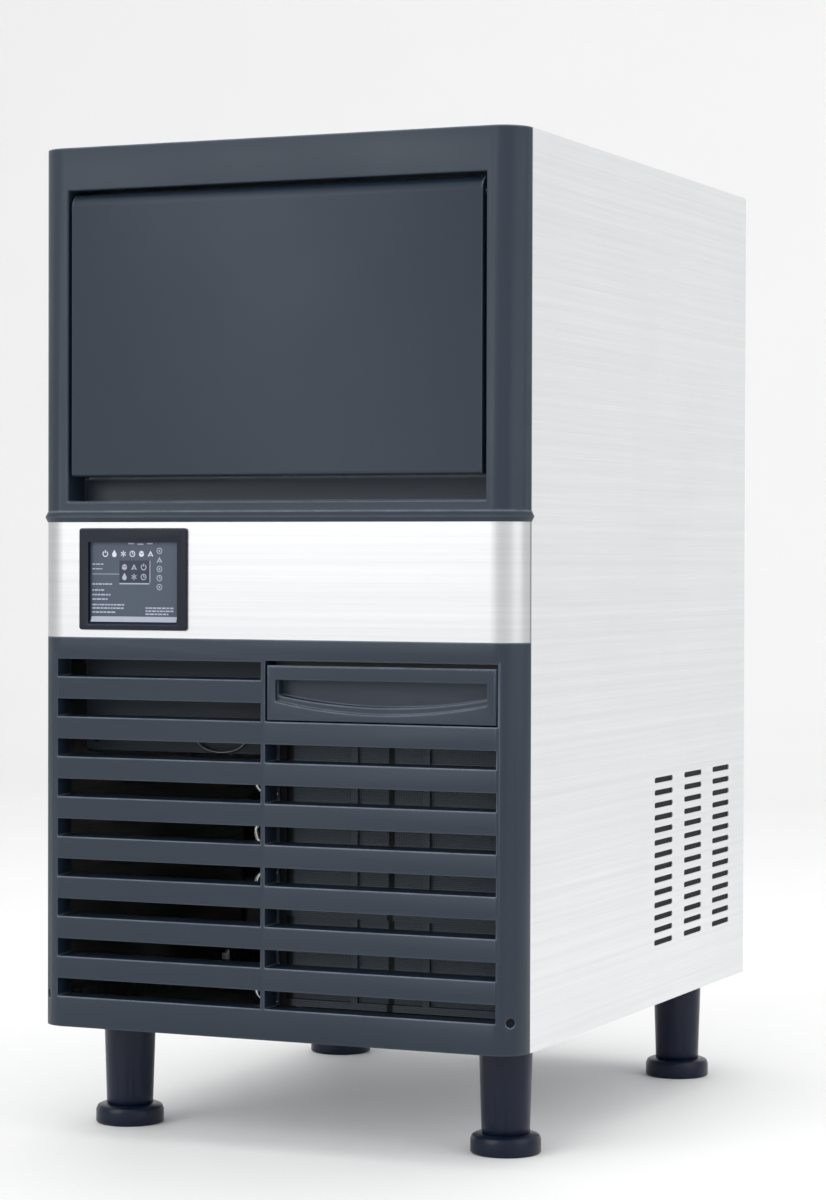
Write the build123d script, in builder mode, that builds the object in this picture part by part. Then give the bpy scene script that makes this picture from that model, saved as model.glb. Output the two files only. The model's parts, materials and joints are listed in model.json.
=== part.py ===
from build123d import *
import math
import os

# Self-contained ice cube machine, in millimetres. +Z is up, the door faces -Y.
# The origin is on the floor, under the middle of the machine's outline.

# Cabinet
BODY_W = 450.0
BODY_D = 600.0
BODY_H = 760.0
LEG_H = 95.0
CORNER_R = 25.0
WRAP_D = 27.0
SHEET = 1.2
WALL = 3.0
FLANGE = 14.0
PAN_H = 22.0
PAN_EAR_H = 14.0
REAR_CORNER_R = 4.0
REAR_REACH = 28.0
PANEL_SCREW_R = 3.8
PANEL_SCREW_H = 2.2
PANEL_SCREW_EDGE = 7.0
PANEL_SCREW_END = 30.0
PANEL_SCREW_ROWS = 4

# Clearances: between fixed pieces, and between a pin and its bore
FIT_GAP = 0.3
RUN_GAP = 0.05

# Heights of the front pieces, upwards from the underside of the body
GRILLE_H = 338.0
BAND_H = 99.0
LEDGE_H = 9.0
FRONT_REACH = 2.5

# Door frame
FRAME_SIDE = 30.0
FRAME_TOP = 37.0
FRAME_SILL = 18.0
FRAME_RIM_R = 1.8
PULL_H = 21.5
PULL_D = 30.0
BOSS_L = 5.0

# Door
DOOR_GAP = 3.5
DOOR_TOP_GAP = 3.0
DOOR_FOOT_GAP = 1.5
DOOR_SET = 0.5
DOOR_T = 28.0
DOOR_SHELL = 2.5
DOOR_FOOT_R = 3.0
HINGE_INSET = 12.0
HINGE_PIN_R = 3.0
HINGE_BAR_WALL = 6.0
PIN_SEAT = 15.0
PIN_TIP = 0.8
SEAL_D = 38.0
GASKET_W = 12.0
GASKET_EDGE = 4.0
GASKET_R = 8.0
LINER_T = 2.0
LINER_PAN_OUT = 14.0
LINER_PAN_GAP = 8.0
LINER_PAN_R = 14.0
LINER_PAN_EDGE_R = 5.0

# Louvred grille: rows of slats counted from the top, and a rib beside the drawer
GRILLE_SIDE = 20.0
GRILLE_HEAD = 19.0
GRILLE_FOOT = 26.0
SLAT_FIRST = 34.5
SLAT_PITCH = 34.65
SLAT_H = 19.0
SLAT_D = 24.0
SLAT_T = 2.5
SLAT_FALL = 1.0
SLAT_NOSE_R = 2.0
RIB_W = 4.0
SCREW_Z = 27.0
SCREW_HEAD_R = 4.0
SCREW_HEAD_H = 2.0
SCREW_ANGLE = 40.0

# Drawer
DRAWER_W = 208.0
DRAWER_H = 46.4
DRAWER_GAP = 1.6
DRAWER_TOP_GAP = 3.7
DRAWER_T = 18.0
DRAWER_EDGE_R = 1.2
GRIP_SIDE = 8.0
GRIP_TOP = 12.3
GRIP_END_H = 18.0
GRIP_MID_H = 27.7
GRIP_STEP_D = 4.0
GRIP_D = 14.0
GRIP_LIP = 6.0
TRAY_L = 145.0
TRAY_WALL = 2.5
TRAY_SIDE = 5.0
TRAY_FOOT = 4.0
TRAY_HEAD = 6.0
TRAY_R = 6.0
GUIDE_WALL = 2.0
GUIDE_GAP = 0.3
GUIDE_STOP = 6.0
GUIDE_LIP = 4.0
GUIDE_FLANGE = 3.0

# Control band
BEZEL_SIDE = 42.4
BEZEL_W = 104.2
BEZEL_Z = 6.4
BEZEL_H = 87.4
BEZEL_R = 2.5
BEZEL_EDGE_R = 1.0
BEZEL_SIDE_W = 9.0
BEZEL_SILL_W = 7.0
BEZEL_HEAD_W = 12.0
BEZEL_LIP = 4.0
BEZEL_DEEP = 5.0
BEZEL_SILL_CUT = 2.4
OVERLAY_SET = 1.5
OVERLAY_T = 1.5
DISPLAY_X = 37.6
DISPLAY_Z = 40.6
DISPLAY_W = 29.0
DISPLAY_H = 19.0
DISPLAY_T = 3.5
DISPLAY_PROUD = 0.2
BOARD_D = 20.0
BOARD_T = 1.6
BOARD_REACH = 60.0
BOARD_POST_R = 2.4
RELAY_SIZE = (18.0, 15.0, 20.0)
SUPPLY_SIZE = (12.0, 11.0, 26.0)

# Right side vents: columns counted from the rear edge, rows upwards
VENT_L = 50.0
VENT_H = 5.0
VENT_PITCH = 11.4
VENT_ROWS = 14
VENT_Z = 56.5
VENT_REAR = 73.0
VENT_COLUMN_PITCH = 83.5
VENT_COLUMNS = 3

# Rear vents
REAR_VENT_SIDE = 130.0
REAR_VENT_Z = 230.0
REAR_VENT_W = 66.0
REAR_VENT_H = 7.0
REAR_VENT_PITCH = 16.0
REAR_VENT_SPREAD = 80.0
REAR_VENT_ROWS = 9

# Legs and feet
LEG_SIDE = 45.0
LEG_FRONT = 86.0
LEG_REAR = 68.0
LEG_TOP_R = 23.0
LEG_LOW_R = 20.5
LEG_BOSS_H = 8.0
FOOT_R = 30.0
FOOT_H = 17.0
FOOT_SHOULDER = 5.0
FOOT_EDGE = 1.5
STEM_R = 8.0
STEM_L = 52.0

# Ice bin and its insulation
BIN_SIDE = 55.0
BIN_FLOOR_T = 23.0
BIN_FLOOR_FALL = 14.0
BIN_TOP_T = 25.0
BIN_REAR = 80.0
BIN_KNEE = 100.0
BIN_CHIN = 50.0
BIN_THROAT = 26.0
BIN_R = 10.0
MOUTH_SILL = 19.0
MOUTH_HEAD = 35.0
FOAM_REAR = 40.0
FOAM_HEAD_GAP = 5.0
FOAM_STEP = 34.0
SHELF_SET = 30.0
SHELF_LIP = 16.0
PASSAGE_GAP = 0.5

# Evaporator and water pieces inside the bin
GRID_REAR = 96.0
GRID_DROP = 163.0
GRID_H = 140.0
GRID_D = 22.0
GRID_COLUMNS = 9
GRID_ROWS = 5
DIVIDER_T = 1.6
PLATE_D = 3.0
TUBE_R = 5.0
TUBE_RUNS = 5
TUBE_EDGE = 15.0
TUBE_SIDE = 22.0
PORT_OUT = 14.0
CHEEK_T = 4.0
CHEEK_FRONT = 26.0
CHEEK_REAR = 20.0
CHEEK_EAR = 16.0
CURTAIN_AHEAD = 14.0
CURTAIN_DROP = 6.0
CURTAIN_PIN_R = 2.5
CURTAIN_T = 2.0
CURTAIN_GAP = 1.5
CURTAIN_RIB = 2.0
DISTRIBUTOR_R = 6.0
JET = 1.6
TROUGH_SIDE = 18.0
TROUGH_H = 34.0
TROUGH_WALL = 2.0
TROUGH_GAP = 6.0
TROUGH_AHEAD = 18.0
PUMP_BAY = 26.0
VOLUTE_R = 15.0
VOLUTE_H = 14.0
PUMP_REAR = 28.0
PUMP_NECK_R = 5.0
PUMP_NECK_H = 30.0
PUMP_R = 18.0
PUMP_H = 52.0
PUMP_CROWN = 5.0
FLOAT_R = 8.0
FLOAT_H = 12.0
FLOAT_RISE = 10.0
FLOAT_REST = 3.0
FLOAT_STEM_R = 3.0
FLOAT_STOP = 2.0
FLOAT_AHEAD = 34.0

# Refrigeration pieces in the machine room
COMPRESSOR_R = 78.0
COMPRESSOR_H = 182.0
COMPRESSOR_SIDE = 113.0
COMPRESSOR_REAR = 255.0
GIRTH_Z = 92.0
GIRTH_OUT = 5.0
SHELL_LOW_R = 24.0
SHELL_TOP_R = 46.0
STUB_R = 7.0
STUB_OUT = 17.0
STUB_Z = 140.0
FOOT_HOLE_OUT = 13.4
FOOT_HOLE_TURN = 37.0
FOOT_PLATE_EDGE = 15.0
FOOT_PLATE_T = 3.0
GROMMET_R = 12.0
GROMMET_NECK_R = 8.0
GROMMET_H = 16.0
GROMMET_TOP = 5.0
STUD_R = 4.0
STUD_TOP = 14.0
STUD_NUT_R = 7.5
STUD_NUT_H = 6.0
COVER_W = 62.0
COVER_D = 34.0
COVER_H = 54.0
COVER_Z = 62.0
COVER_BAND = 4.0
COVER_R = 4.0
CONDENSER_W = 206.0
CONDENSER_H = 222.0
CONDENSER_SIDE = 22.0
CONDENSER_SET = 47.0
CONDENSER_T = 22.0
CONDENSER_FOOT_H = 12.0
CONDENSER_PIN_R = 5.0
PIN_FLANGE_R = 10.0
HEADER_R = 8.0
HEADER_END = 10.0
FLAT_TUBES = 10
FLAT_TUBE_H = 2.5
FLAT_TUBE_D = 14.0
FIN_FOLDS = 15
FIN_T = 0.5
FIN_D = 20.0
FIN_SIDE = 2.0
FILTER_T = 9.0
FILTER_BAR = 6.0
FILTER_MESH_D = 5.5
FILTER_FOOT = 27.0
FILTER_SIDE = 3.0
FILTER_RAIL = 2.0
FILTER_RAIL_LIP = 4.0

# Fan
FAN_EDGE = 8.0
FAN_TIP_GAP = 4.0
FAN_BLADES = 5
BLADE_PITCH = 28.0
BLADE_T = 1.5
HUB_R = 20.0
HUB_L = 20.0
HUB_AHEAD = 12.0
HUB_EDGE = 4.0
BLADE_ROOT = 9.0
BLADE_BELLY = 22.0
BLADE_LEAD = 30.0
BLADE_TRAIL = 24.0
BLADE_HOLLOW = 16.0
BLADE_TIP_R = 6.0
BLADE_LAP = 4.0
SHAFT_R = 3.0
SHAFT_SEAT = 5.0
MOTOR_SET = 14.0
MOTOR_BOSS_L = 5.0
SHROUD_D = 34.0
SHROUD_T = 2.0
SHROUD_END = 2.0
SHROUD_RING = 13.0
SHROUD_SIDE = 6.0
SADDLE_H = 12.0
SADDLE_ROWS = (2.5, 7.5)
MOTOR_R = 36.0
MOTOR_L = 46.0
MOTOR_EDGE = 7.0
BOSS_R = 9.0
ARM_W = 12.0
ARM_T = 2.0
CLAMP_L = 12.0

# Pipes and hoses
PIPE_R = 4.0
CAPILLARY_R = 3.0
SUCTION_R = 4.75
HOSE_R = 4.5
PUMP_HOSE_R = 4.0
PIPE_BEND = 10.0
DUCT_DEEP = 30.0
LINE_DROP = 15.0
DUCT_SHALLOW = 12.0
DUCT_RISE = 60.0
DRIER_L = 110.0
DRIER_R = 17.0
DRIER_NECK = 10.0
DRIER_Z = 22.0
DRIER_BEHIND = 30.0

# Fittings on the rear panel, in from the sides and up from the underside of the body
INLET_SIDE = 85.0
INLET_Z = 95.0
INLET_R = 13.2
INLET_L = 16.0
INLET_BORE_R = 8.0
VALVE_W = 30.0
VALVE_H = 34.0
COIL_R = 12.0
COIL_L = 26.0
DRAIN_X = 70.0
DRAIN_Z = 52.0
DRAIN_R = 10.0
DRAIN_WALL = 2.0
DRAIN_BORE_L = 60.0
DRAIN_BEND = 18.0
BIN_DRAIN_X = 60.0
BIN_DRAIN_REAR = 40.0
GLAND_SIDE = 65.0
GLAND_Z = 70.0
GLAND_R = 9.0
GLAND_BORE_R = 4.5
COLLAR_T = 3.0
COLLAR_OUT = 4.0
SUPPLY_DROP = 13.0
BOX_SIDE = 22.0
BOX_SET = 48.0
BOX_D = 82.0
BOX_H = 100.0
BOX_R = 3.0

# Places that follow from the sizes above
front = -(BODY_D + REAR_REACH - FRONT_REACH) / 2
back = front + BODY_D
base = LEG_H
top = LEG_H + BODY_H
half_w = BODY_W / 2
side_y0 = front + WRAP_D
side_y1 = back - SHEET
side_h = BODY_H - SHEET
pan_x = half_w - WALL
pan_floor = base + 2 * SHEET
band_z = base + GRILLE_H
frame_z = band_z + BAND_H
opening_x = half_w - FRAME_SIDE
opening_z0 = frame_z + FRAME_SILL
opening_z1 = top - FRAME_TOP
door_z0 = opening_z0 + PULL_H
door_z1 = opening_z1 - DOOR_TOP_GAP
door_x = opening_x - DOOR_GAP
door_y = front + DOOR_SET
ledge_z = door_z0 - DOOR_FOOT_GAP
hinge_y = door_y + HINGE_INSET
hinge_z = door_z1 - HINGE_INSET
liner_y = door_y + DOOR_T
seal_y = front + SEAL_D
shelf_z = band_z + 1
foam_x = half_w - SHEET
foam_y1 = back - FOAM_REAR
bin_half = half_w - BIN_SIDE
bin_knee = front + BIN_KNEE
bin_rear = back - BIN_REAR
bin_floor = shelf_z + BIN_FLOOR_T
bin_ceiling = top - BIN_TOP_T
mouth_z0 = ledge_z + MOUTH_SILL
mouth_z1 = opening_z1 - MOUTH_HEAD
inlet_x = -half_w + INLET_SIDE
gland_x = half_w - GLAND_SIDE
leg_x = half_w - LEG_SIDE
leg_spots = {
    "front_left": (-leg_x, front + LEG_FRONT),
    "front_right": (leg_x, front + LEG_FRONT),
    "rear_left": (-leg_x, back - LEG_REAR),
    "rear_right": (leg_x, back - LEG_REAR),
}

os.makedirs("parts", exist_ok=True)


def save(piece, label):
    """Label a finished piece and write it."""
    piece.part.label = label
    export_step(piece.part, f"parts/{label}.step")


def front_strip(z, half, y0, y1, radius):
    """Plan outline of a front piece, whose two front corners are rounded."""
    with BuildSketch(Plane.XY.offset(z)) as strip:
        with Locations((0, y0)):
            Rectangle(2 * half, y1 - y0, align=(Align.CENTER, Align.MIN))
        fillet(strip.vertices().group_by(Axis.Y)[0], radius)
    return strip.sketch


def front_shell(z0, z1, inset, y1):
    """Outline and height of a front piece that lies inside the cabinet's outline by an inset."""
    return front_strip(z0, half_w - inset, front + inset, y1, CORNER_R - inset), z1 - z0


def block(x0, x1, y0, y1, z0, z1, mode=Mode.ADD):
    """A box between two corners."""
    with Locations(((x0 + x1) / 2, (y0 + y1) / 2, (z0 + z1) / 2)):
        Box(abs(x1 - x0), abs(y1 - y0), abs(z1 - z0), mode=mode)


def rod(x, y, z, radius, length, axis=Axis.Z, mode=Mode.ADD):
    """A cylinder that starts at a point and runs along an axis."""
    with BuildSketch(Plane(origin=(x, y, z), z_dir=axis.direction)) as end:
        Circle(radius)
    extrude(end.sketch, amount=length, mode=mode)


def pipe(points, bend, radius):
    """A round pipe along straight runs joined by equal bends."""
    with BuildLine() as route:
        FilletPolyline(*points, radius=bend)
    with BuildSketch(Plane(origin=route.line @ 0, z_dir=route.line % 0)) as end:
        Circle(radius)
    sweep(end.sketch, path=route.line)


def screw_spot(side, depth):
    """Place of a recessed screw in a rounded front corner, looking inwards from a depth."""
    corner = Plane(origin=(side * (half_w - CORNER_R), front + CORNER_R, base + SCREW_Z), z_dir=(0, 0, 1))
    inwards = Location((0, depth - CORNER_R, 0), (90, 0, 0))
    return corner.rotated((0, 0, side * SCREW_ANGLE)).location * inwards


# Base pan: a tray on the lower flanges of the side panels, with an ear for a screw in each front corner
pan_top = base + SHEET + PAN_H
with BuildPart() as base_pan:
    outline, _ = front_shell(base + SHEET, pan_top, WALL, side_y1 - SHEET)
    extrude(outline, amount=PAN_H + PAN_EAR_H)
    inside, _ = front_shell(pan_floor, pan_top, WALL + SHEET, side_y1 - 2 * SHEET)
    extrude(inside, amount=PAN_H + PAN_EAR_H, mode=Mode.SUBTRACT)
    ear_x = half_w - GRILLE_SIDE + WALL + FIT_GAP
    ear_y = front + CORNER_R
    block(-ear_x, ear_x, front, back, pan_top, pan_top + PAN_EAR_H, Mode.SUBTRACT)
    block(-half_w, half_w, ear_y, back, pan_top, pan_top + PAN_EAR_H, Mode.SUBTRACT)
    for leg_at_x, leg_at_y in leg_spots.values():
        rod(leg_at_x, leg_at_y, base, STEM_R + SHEET + FIT_GAP, LEG_BOSS_H, mode=Mode.SUBTRACT)
save(base_pan, "base_pan")


def side_panel(side, vented):
    """One side of the cabinet with four inward flanges, and the vents that let the fan's air out."""
    x0, x1 = sorted((side * half_w, side * (half_w - FLANGE)))
    with BuildPart() as panel:
        block(x0, x1, side_y0, side_y1, base, base + side_h)
        offset(amount=-SHEET, openings=panel.faces().sort_by(Axis.X)[0 if side > 0 else -1])
        block(side * pan_x, side * (half_w - FLANGE - 1), side_y0 - 1, side_y1 + 1, base + SHEET, pan_top,
              Mode.SUBTRACT)
        if vented:
            vent_y = back - VENT_REAR - (VENT_COLUMNS - 1) * VENT_COLUMN_PITCH / 2
            vent_z = base + VENT_Z + (VENT_ROWS - 1) * VENT_PITCH / 2
            with BuildSketch(Plane.YZ.offset(side * half_w)):
                with Locations((vent_y, vent_z)):
                    with GridLocations(VENT_COLUMN_PITCH, VENT_PITCH, VENT_COLUMNS, VENT_ROWS):
                        SlotOverall(VENT_L, VENT_H)
            extrude(amount=2 * SHEET, both=True, mode=Mode.SUBTRACT)
    return panel


save(side_panel(-1, False), "side_panel_left")
save(side_panel(1, True), "side_panel_right")

# Top panel: a flat sheet with rounded rear corners
with BuildPart() as top_panel:
    with BuildSketch(Plane.XY.offset(top - SHEET)) as sheet:
        with Locations((0, side_y0)):
            Rectangle(BODY_W, back - side_y0, align=(Align.CENTER, Align.MIN))
        fillet(sheet.vertices().group_by(Axis.Y)[-1], REAR_CORNER_R)
    extrude(amount=SHEET)
save(top_panel, "top_panel")

# Rear panel: exhaust slots on one side and holes for the water and power fittings
with BuildPart() as rear_panel:
    block(-half_w, half_w, back - SHEET, back, base, base + side_h)
    with BuildSketch(Plane.XZ.offset(-back)):
        with Locations((half_w - REAR_VENT_SIDE, base + REAR_VENT_Z)):
            with GridLocations(REAR_VENT_SPREAD, REAR_VENT_PITCH, 2, REAR_VENT_ROWS):
                Rectangle(REAR_VENT_W, REAR_VENT_H)
        for x, z, radius in (
            (inlet_x, INLET_Z, INLET_R + FIT_GAP),
            (DRAIN_X, DRAIN_Z, DRAIN_R + FIT_GAP),
            (gland_x, GLAND_Z, GLAND_R),
        ):
            with Locations((x, base + z)):
                Circle(radius)
    extrude(amount=2 * SHEET, both=True, mode=Mode.SUBTRACT)
save(rear_panel, "rear_panel")

# Door frame: a hollow moulding that wraps the corners, with a finger recess under the door
with BuildPart() as door_frame:
    outline, height = front_shell(frame_z, top, 0, side_y0)
    extrude(outline, amount=height)
    inside, height = front_shell(frame_z + WALL, top - WALL, WALL, side_y0)
    extrude(inside, amount=height, mode=Mode.SUBTRACT)
    block(-opening_x - WALL, opening_x + WALL, front + WALL, seal_y, ledge_z - WALL, opening_z1 + WALL)
    block(-opening_x - WALL, opening_x + WALL, front + WALL, front + PULL_D + WALL,
          opening_z0 - WALL, ledge_z)
    for side in (-1, 1):
        rod(side * (opening_x + WALL), hinge_y, hinge_z, HINGE_PIN_R + WALL, side * BOSS_L, Axis.X)
    block(-opening_x, opening_x, front - 1, seal_y + 1, ledge_z, opening_z1, Mode.SUBTRACT)
    block(-opening_x, opening_x, front - 1, front + PULL_D, opening_z0, door_z0, Mode.SUBTRACT)
    for side in (-1, 1):
        rod(side * (opening_x - 1), hinge_y, hinge_z, HINGE_PIN_R + RUN_GAP, side * (WALL + BOSS_L + 2),
            Axis.X, Mode.SUBTRACT)
    rim = door_frame.edges().filter_by(lambda e: abs(e.center().Y - front) < 0.01
                                       and abs(e.center().X) < opening_x + 0.01
                                       and opening_z0 - 0.01 < e.center().Z < opening_z1 + 0.01)
    fillet(rim, FRAME_RIM_R)
    bead_z = frame_z + LEDGE_H / 2
    with BuildLine(Plane.XY.offset(bead_z)):
        FilletPolyline((-half_w, side_y0), (-half_w, front), (half_w, front), (half_w, side_y0),
                       radius=CORNER_R)
    with BuildSketch(Plane(origin=(-half_w, side_y0, bead_z), x_dir=(1, 0, 0), z_dir=(0, -1, 0))):
        with BuildLine():
            Polyline((WALL / 2, -LEDGE_H / 2), (-FRONT_REACH / 10, -LEDGE_H / 2), (-FRONT_REACH, 0),
                     (-FRONT_REACH / 10, LEDGE_H / 2), (WALL / 2, LEDGE_H / 2), close=True)
        make_face()
    sweep()
save(door_frame, "door_frame")

# Door outer shell: its top front edge is rounded about the hinge axis, a solid bar takes the pins
bar_y = door_y + 2 * HINGE_INSET
bar_z = hinge_z - HINGE_PIN_R - HINGE_BAR_WALL
shell_x = door_x - DOOR_SHELL
with BuildPart() as door_shell:
    block(-door_x, door_x, door_y, liner_y, door_z0, door_z1)
    front_edges = door_shell.edges().filter_by(Axis.X).group_by(Axis.Y)[0]
    fillet(front_edges.sort_by(Axis.Z)[-1], HINGE_INSET - RUN_GAP)
    front_edges = door_shell.edges().filter_by(Axis.X).group_by(Axis.Y)[0]
    fillet(front_edges.sort_by(Axis.Z)[0], DOOR_FOOT_R)
    block(-shell_x, shell_x, bar_y, liner_y, door_z0 + DOOR_SHELL, door_z1 - DOOR_SHELL, Mode.SUBTRACT)
    block(-shell_x, shell_x, door_y + DOOR_SHELL, bar_y, door_z0 + DOOR_SHELL, bar_z, Mode.SUBTRACT)
    for side in (-1, 1):
        rod(side * (door_x + 1), hinge_y, hinge_z, HINGE_PIN_R, -side * (PIN_SEAT + 1), Axis.X,
            Mode.SUBTRACT)
save(door_shell, "door_shell")

# Door foam: fills the shell below and behind the hinge bar
with BuildPart() as door_foam:
    block(-shell_x, shell_x, door_y + DOOR_SHELL, bar_y, door_z0 + DOOR_SHELL, bar_z)
    block(-shell_x, shell_x, bar_y, liner_y, door_z0 + DOOR_SHELL, door_z1 - DOOR_SHELL)
save(door_foam, "door_foam")

# Door liner: a back plate with a raised pan that fills the mouth of the bin
liner_pan_z = (mouth_z0 + mouth_z1) / 2
liner_pan_w = 2 * (bin_half - LINER_PAN_GAP)
liner_pan_h = mouth_z1 - mouth_z0 - 2 * LINER_PAN_GAP
with BuildPart() as door_liner:
    block(-door_x, door_x, liner_y, liner_y + LINER_T, door_z0, door_z1)
    with BuildSketch(Plane.XZ.offset(-liner_y)):
        with Locations((0, liner_pan_z)):
            RectangleRounded(liner_pan_w, liner_pan_h, LINER_PAN_R)
    extrude(amount=-LINER_PAN_OUT - LINER_T)
    fillet(door_liner.faces().sort_by(Axis.Y)[-1].edges(), LINER_PAN_EDGE_R)
    with BuildSketch(Plane.XZ.offset(-liner_y)):
        with Locations((0, liner_pan_z)):
            RectangleRounded(liner_pan_w - 2 * LINER_T, liner_pan_h - 2 * LINER_T, LINER_PAN_R - LINER_T)
    extrude(amount=-LINER_PAN_OUT, mode=Mode.SUBTRACT)
save(door_liner, "door_liner")

# Gasket: a soft ring that presses on the flange of the bin
gasket_z0 = door_z0 + GASKET_EDGE
gasket_z1 = hinge_z - HINGE_PIN_R
gasket_w = 2 * (door_x - GASKET_EDGE)
gasket_h = gasket_z1 - gasket_z0
gasket_y0 = liner_y + LINER_T
with BuildPart() as door_gasket:
    with BuildSketch(Plane.XZ.offset(-gasket_y0)):
        with Locations((0, (gasket_z0 + gasket_z1) / 2)):
            RectangleRounded(gasket_w, gasket_h, GASKET_R)
            RectangleRounded(gasket_w - 2 * GASKET_W, gasket_h - 2 * GASKET_W, GASKET_R / 2,
                             mode=Mode.SUBTRACT)
    extrude(amount=gasket_y0 - seal_y + FIT_GAP)
    chamfer(door_gasket.faces().sort_by(Axis.Y)[-1].edges(), GASKET_W / 6)
save(door_gasket, "door_gasket")

# Door hinge pins: pressed into the shell, free to turn in the frame
with BuildPart() as door_pins:
    for side in (-1, 1):
        rod(side * (door_x - PIN_SEAT), hinge_y, hinge_z, HINGE_PIN_R,
            side * (PIN_SEAT + DOOR_GAP + WALL + BOSS_L - 1), Axis.X)
    ends = door_pins.edges().filter_by(GeomType.CIRCLE)
    chamfer(ends.filter_by(lambda e: abs(e.center().X) > opening_x + WALL), PIN_TIP)
save(door_pins, "door_pins")


def bin_section(grow=0):
    """Section of the bin's inside, from the mouth round to the mouth, grown by a wall."""
    mouth_y = seal_y - LINER_PAN_GAP
    throat_y = seal_y + BIN_THROAT
    with BuildSketch(Plane.YZ) as section:
        with BuildLine():
            Polyline(
                (mouth_y, mouth_z0), (throat_y, mouth_z0), (bin_knee, mouth_z0 - BIN_CHIN),
                (bin_knee, bin_floor + BIN_FLOOR_FALL), (bin_rear, bin_floor), (bin_rear, bin_ceiling),
                (bin_knee, bin_ceiling), (throat_y, mouth_z1), (mouth_y, mouth_z1), close=True,
            )
        make_face()
        fillet(section.vertices().filter_by(lambda v: v.Y > seal_y), BIN_R)
        if grow:
            offset(amount=grow, kind=Kind.ARC)
    return section.sketch


# Places of the evaporator, and of the pipes that pass the rear wall of the bin
trough_x = bin_half - TROUGH_SIDE
cheek_x = trough_x - PUMP_BAY
grid_w = 2 * cheek_x
grid_y = bin_rear - GRID_REAR
grid_z = bin_ceiling - GRID_DROP
run_x = cheek_x - TUBE_SIDE
port_x = run_x + PORT_OUT
liquid_z = grid_z + TUBE_EDGE
suction_z = grid_z + GRID_H - TUBE_EDGE
supply_z = bin_ceiling - SUPPLY_DROP
drain_y = bin_rear - BIN_DRAIN_REAR


def cut_passages(y0, y1):
    """Holes for the pipes that pass the rear wall of the bin."""
    for x, z, radius in (
        (-port_x, liquid_z, CAPILLARY_R), (port_x, suction_z, SUCTION_R), (inlet_x, supply_z, HOSE_R),
    ):
        rod(x, y0, z, radius + PASSAGE_GAP, y1 - y0, Axis.Y, Mode.SUBTRACT)


# Bin liner: one moulding with a sloped sill, a floor that falls to the drain and a front flange
with BuildPart() as bin_liner:
    extrude(bin_section(WALL), amount=bin_half + WALL, both=True)
    block(-half_w, half_w, front, seal_y, base, top, Mode.SUBTRACT)
    block(-opening_x - WALL, opening_x + WALL, seal_y, seal_y + WALL, ledge_z - WALL, opening_z1 + WALL)
    extrude(bin_section(), amount=bin_half, both=True, mode=Mode.SUBTRACT)
    cut_passages(bin_rear - WALL, bin_rear + 2 * WALL)
    rod(BIN_DRAIN_X, drain_y, bin_floor - 2 * WALL, DRAIN_R, BIN_FLOOR_T, mode=Mode.SUBTRACT)
save(bin_liner, "bin_liner")

# Insulation: foam that fills the room between the liner and the cabinet
foam_y0 = seal_y + WALL
step_y = bin_knee - FOAM_STEP
with BuildPart() as bin_insulation:
    block(-foam_x, foam_x, foam_y0, foam_y1, shelf_z, top - FOAM_HEAD_GAP)
    block(-foam_x, foam_x, foam_y0 - 1, step_y, shelf_z - 1, opening_z0, Mode.SUBTRACT)
    extrude(bin_section(WALL), amount=bin_half + WALL, both=True, mode=Mode.SUBTRACT)
    cut_passages(bin_rear - WALL, foam_y1 + WALL)
    rod(BIN_DRAIN_X, drain_y, shelf_z - 1, DRAIN_R + FIT_GAP, BIN_FLOOR_T + 2, mode=Mode.SUBTRACT)
save(bin_insulation, "bin_insulation")

# Mid shelf: the sheet that carries the bin above the machine room, its ends bent down
shelf_y0 = front + SHELF_SET
with BuildPart() as mid_shelf:
    block(-foam_x, foam_x, shelf_y0, foam_y1, shelf_z - SHELF_LIP, shelf_z)
    block(-foam_x - 1, foam_x + 1, shelf_y0 + SHEET, foam_y1 - SHEET, shelf_z - SHELF_LIP, shelf_z - SHEET,
          Mode.SUBTRACT)
    rod(BIN_DRAIN_X, drain_y, shelf_z - SHELF_LIP, DRAIN_R + FIT_GAP, 2 * SHELF_LIP, mode=Mode.SUBTRACT)
save(mid_shelf, "mid_shelf")

# Bin drain: a pipe from the bin floor to the outlet at the rear, with a collar outside the panel
outlet_z = base + DRAIN_Z
outlet_y = back + REAR_REACH
with BuildPart() as drain_pipe:
    pipe((
        (BIN_DRAIN_X, drain_y, bin_floor + 1),
        (BIN_DRAIN_X, drain_y, outlet_z + BIN_DRAIN_REAR),
        (DRAIN_X, drain_y + BIN_DRAIN_REAR, outlet_z),
        (DRAIN_X, outlet_y, outlet_z),
    ), DRAIN_BEND, DRAIN_R)
    rod(DRAIN_X, back, outlet_z, DRAIN_R + COLLAR_OUT, COLLAR_T, Axis.Y)
    rod(DRAIN_X, outlet_y, outlet_z, DRAIN_R - DRAIN_WALL, -DRAIN_BORE_L, Axis.Y, Mode.SUBTRACT)
    rod(BIN_DRAIN_X, drain_y, bin_floor + 1, DRAIN_R - DRAIN_WALL, -DRAIN_BORE_L, Axis.Z, Mode.SUBTRACT)
save(drain_pipe, "drain_pipe")

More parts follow.
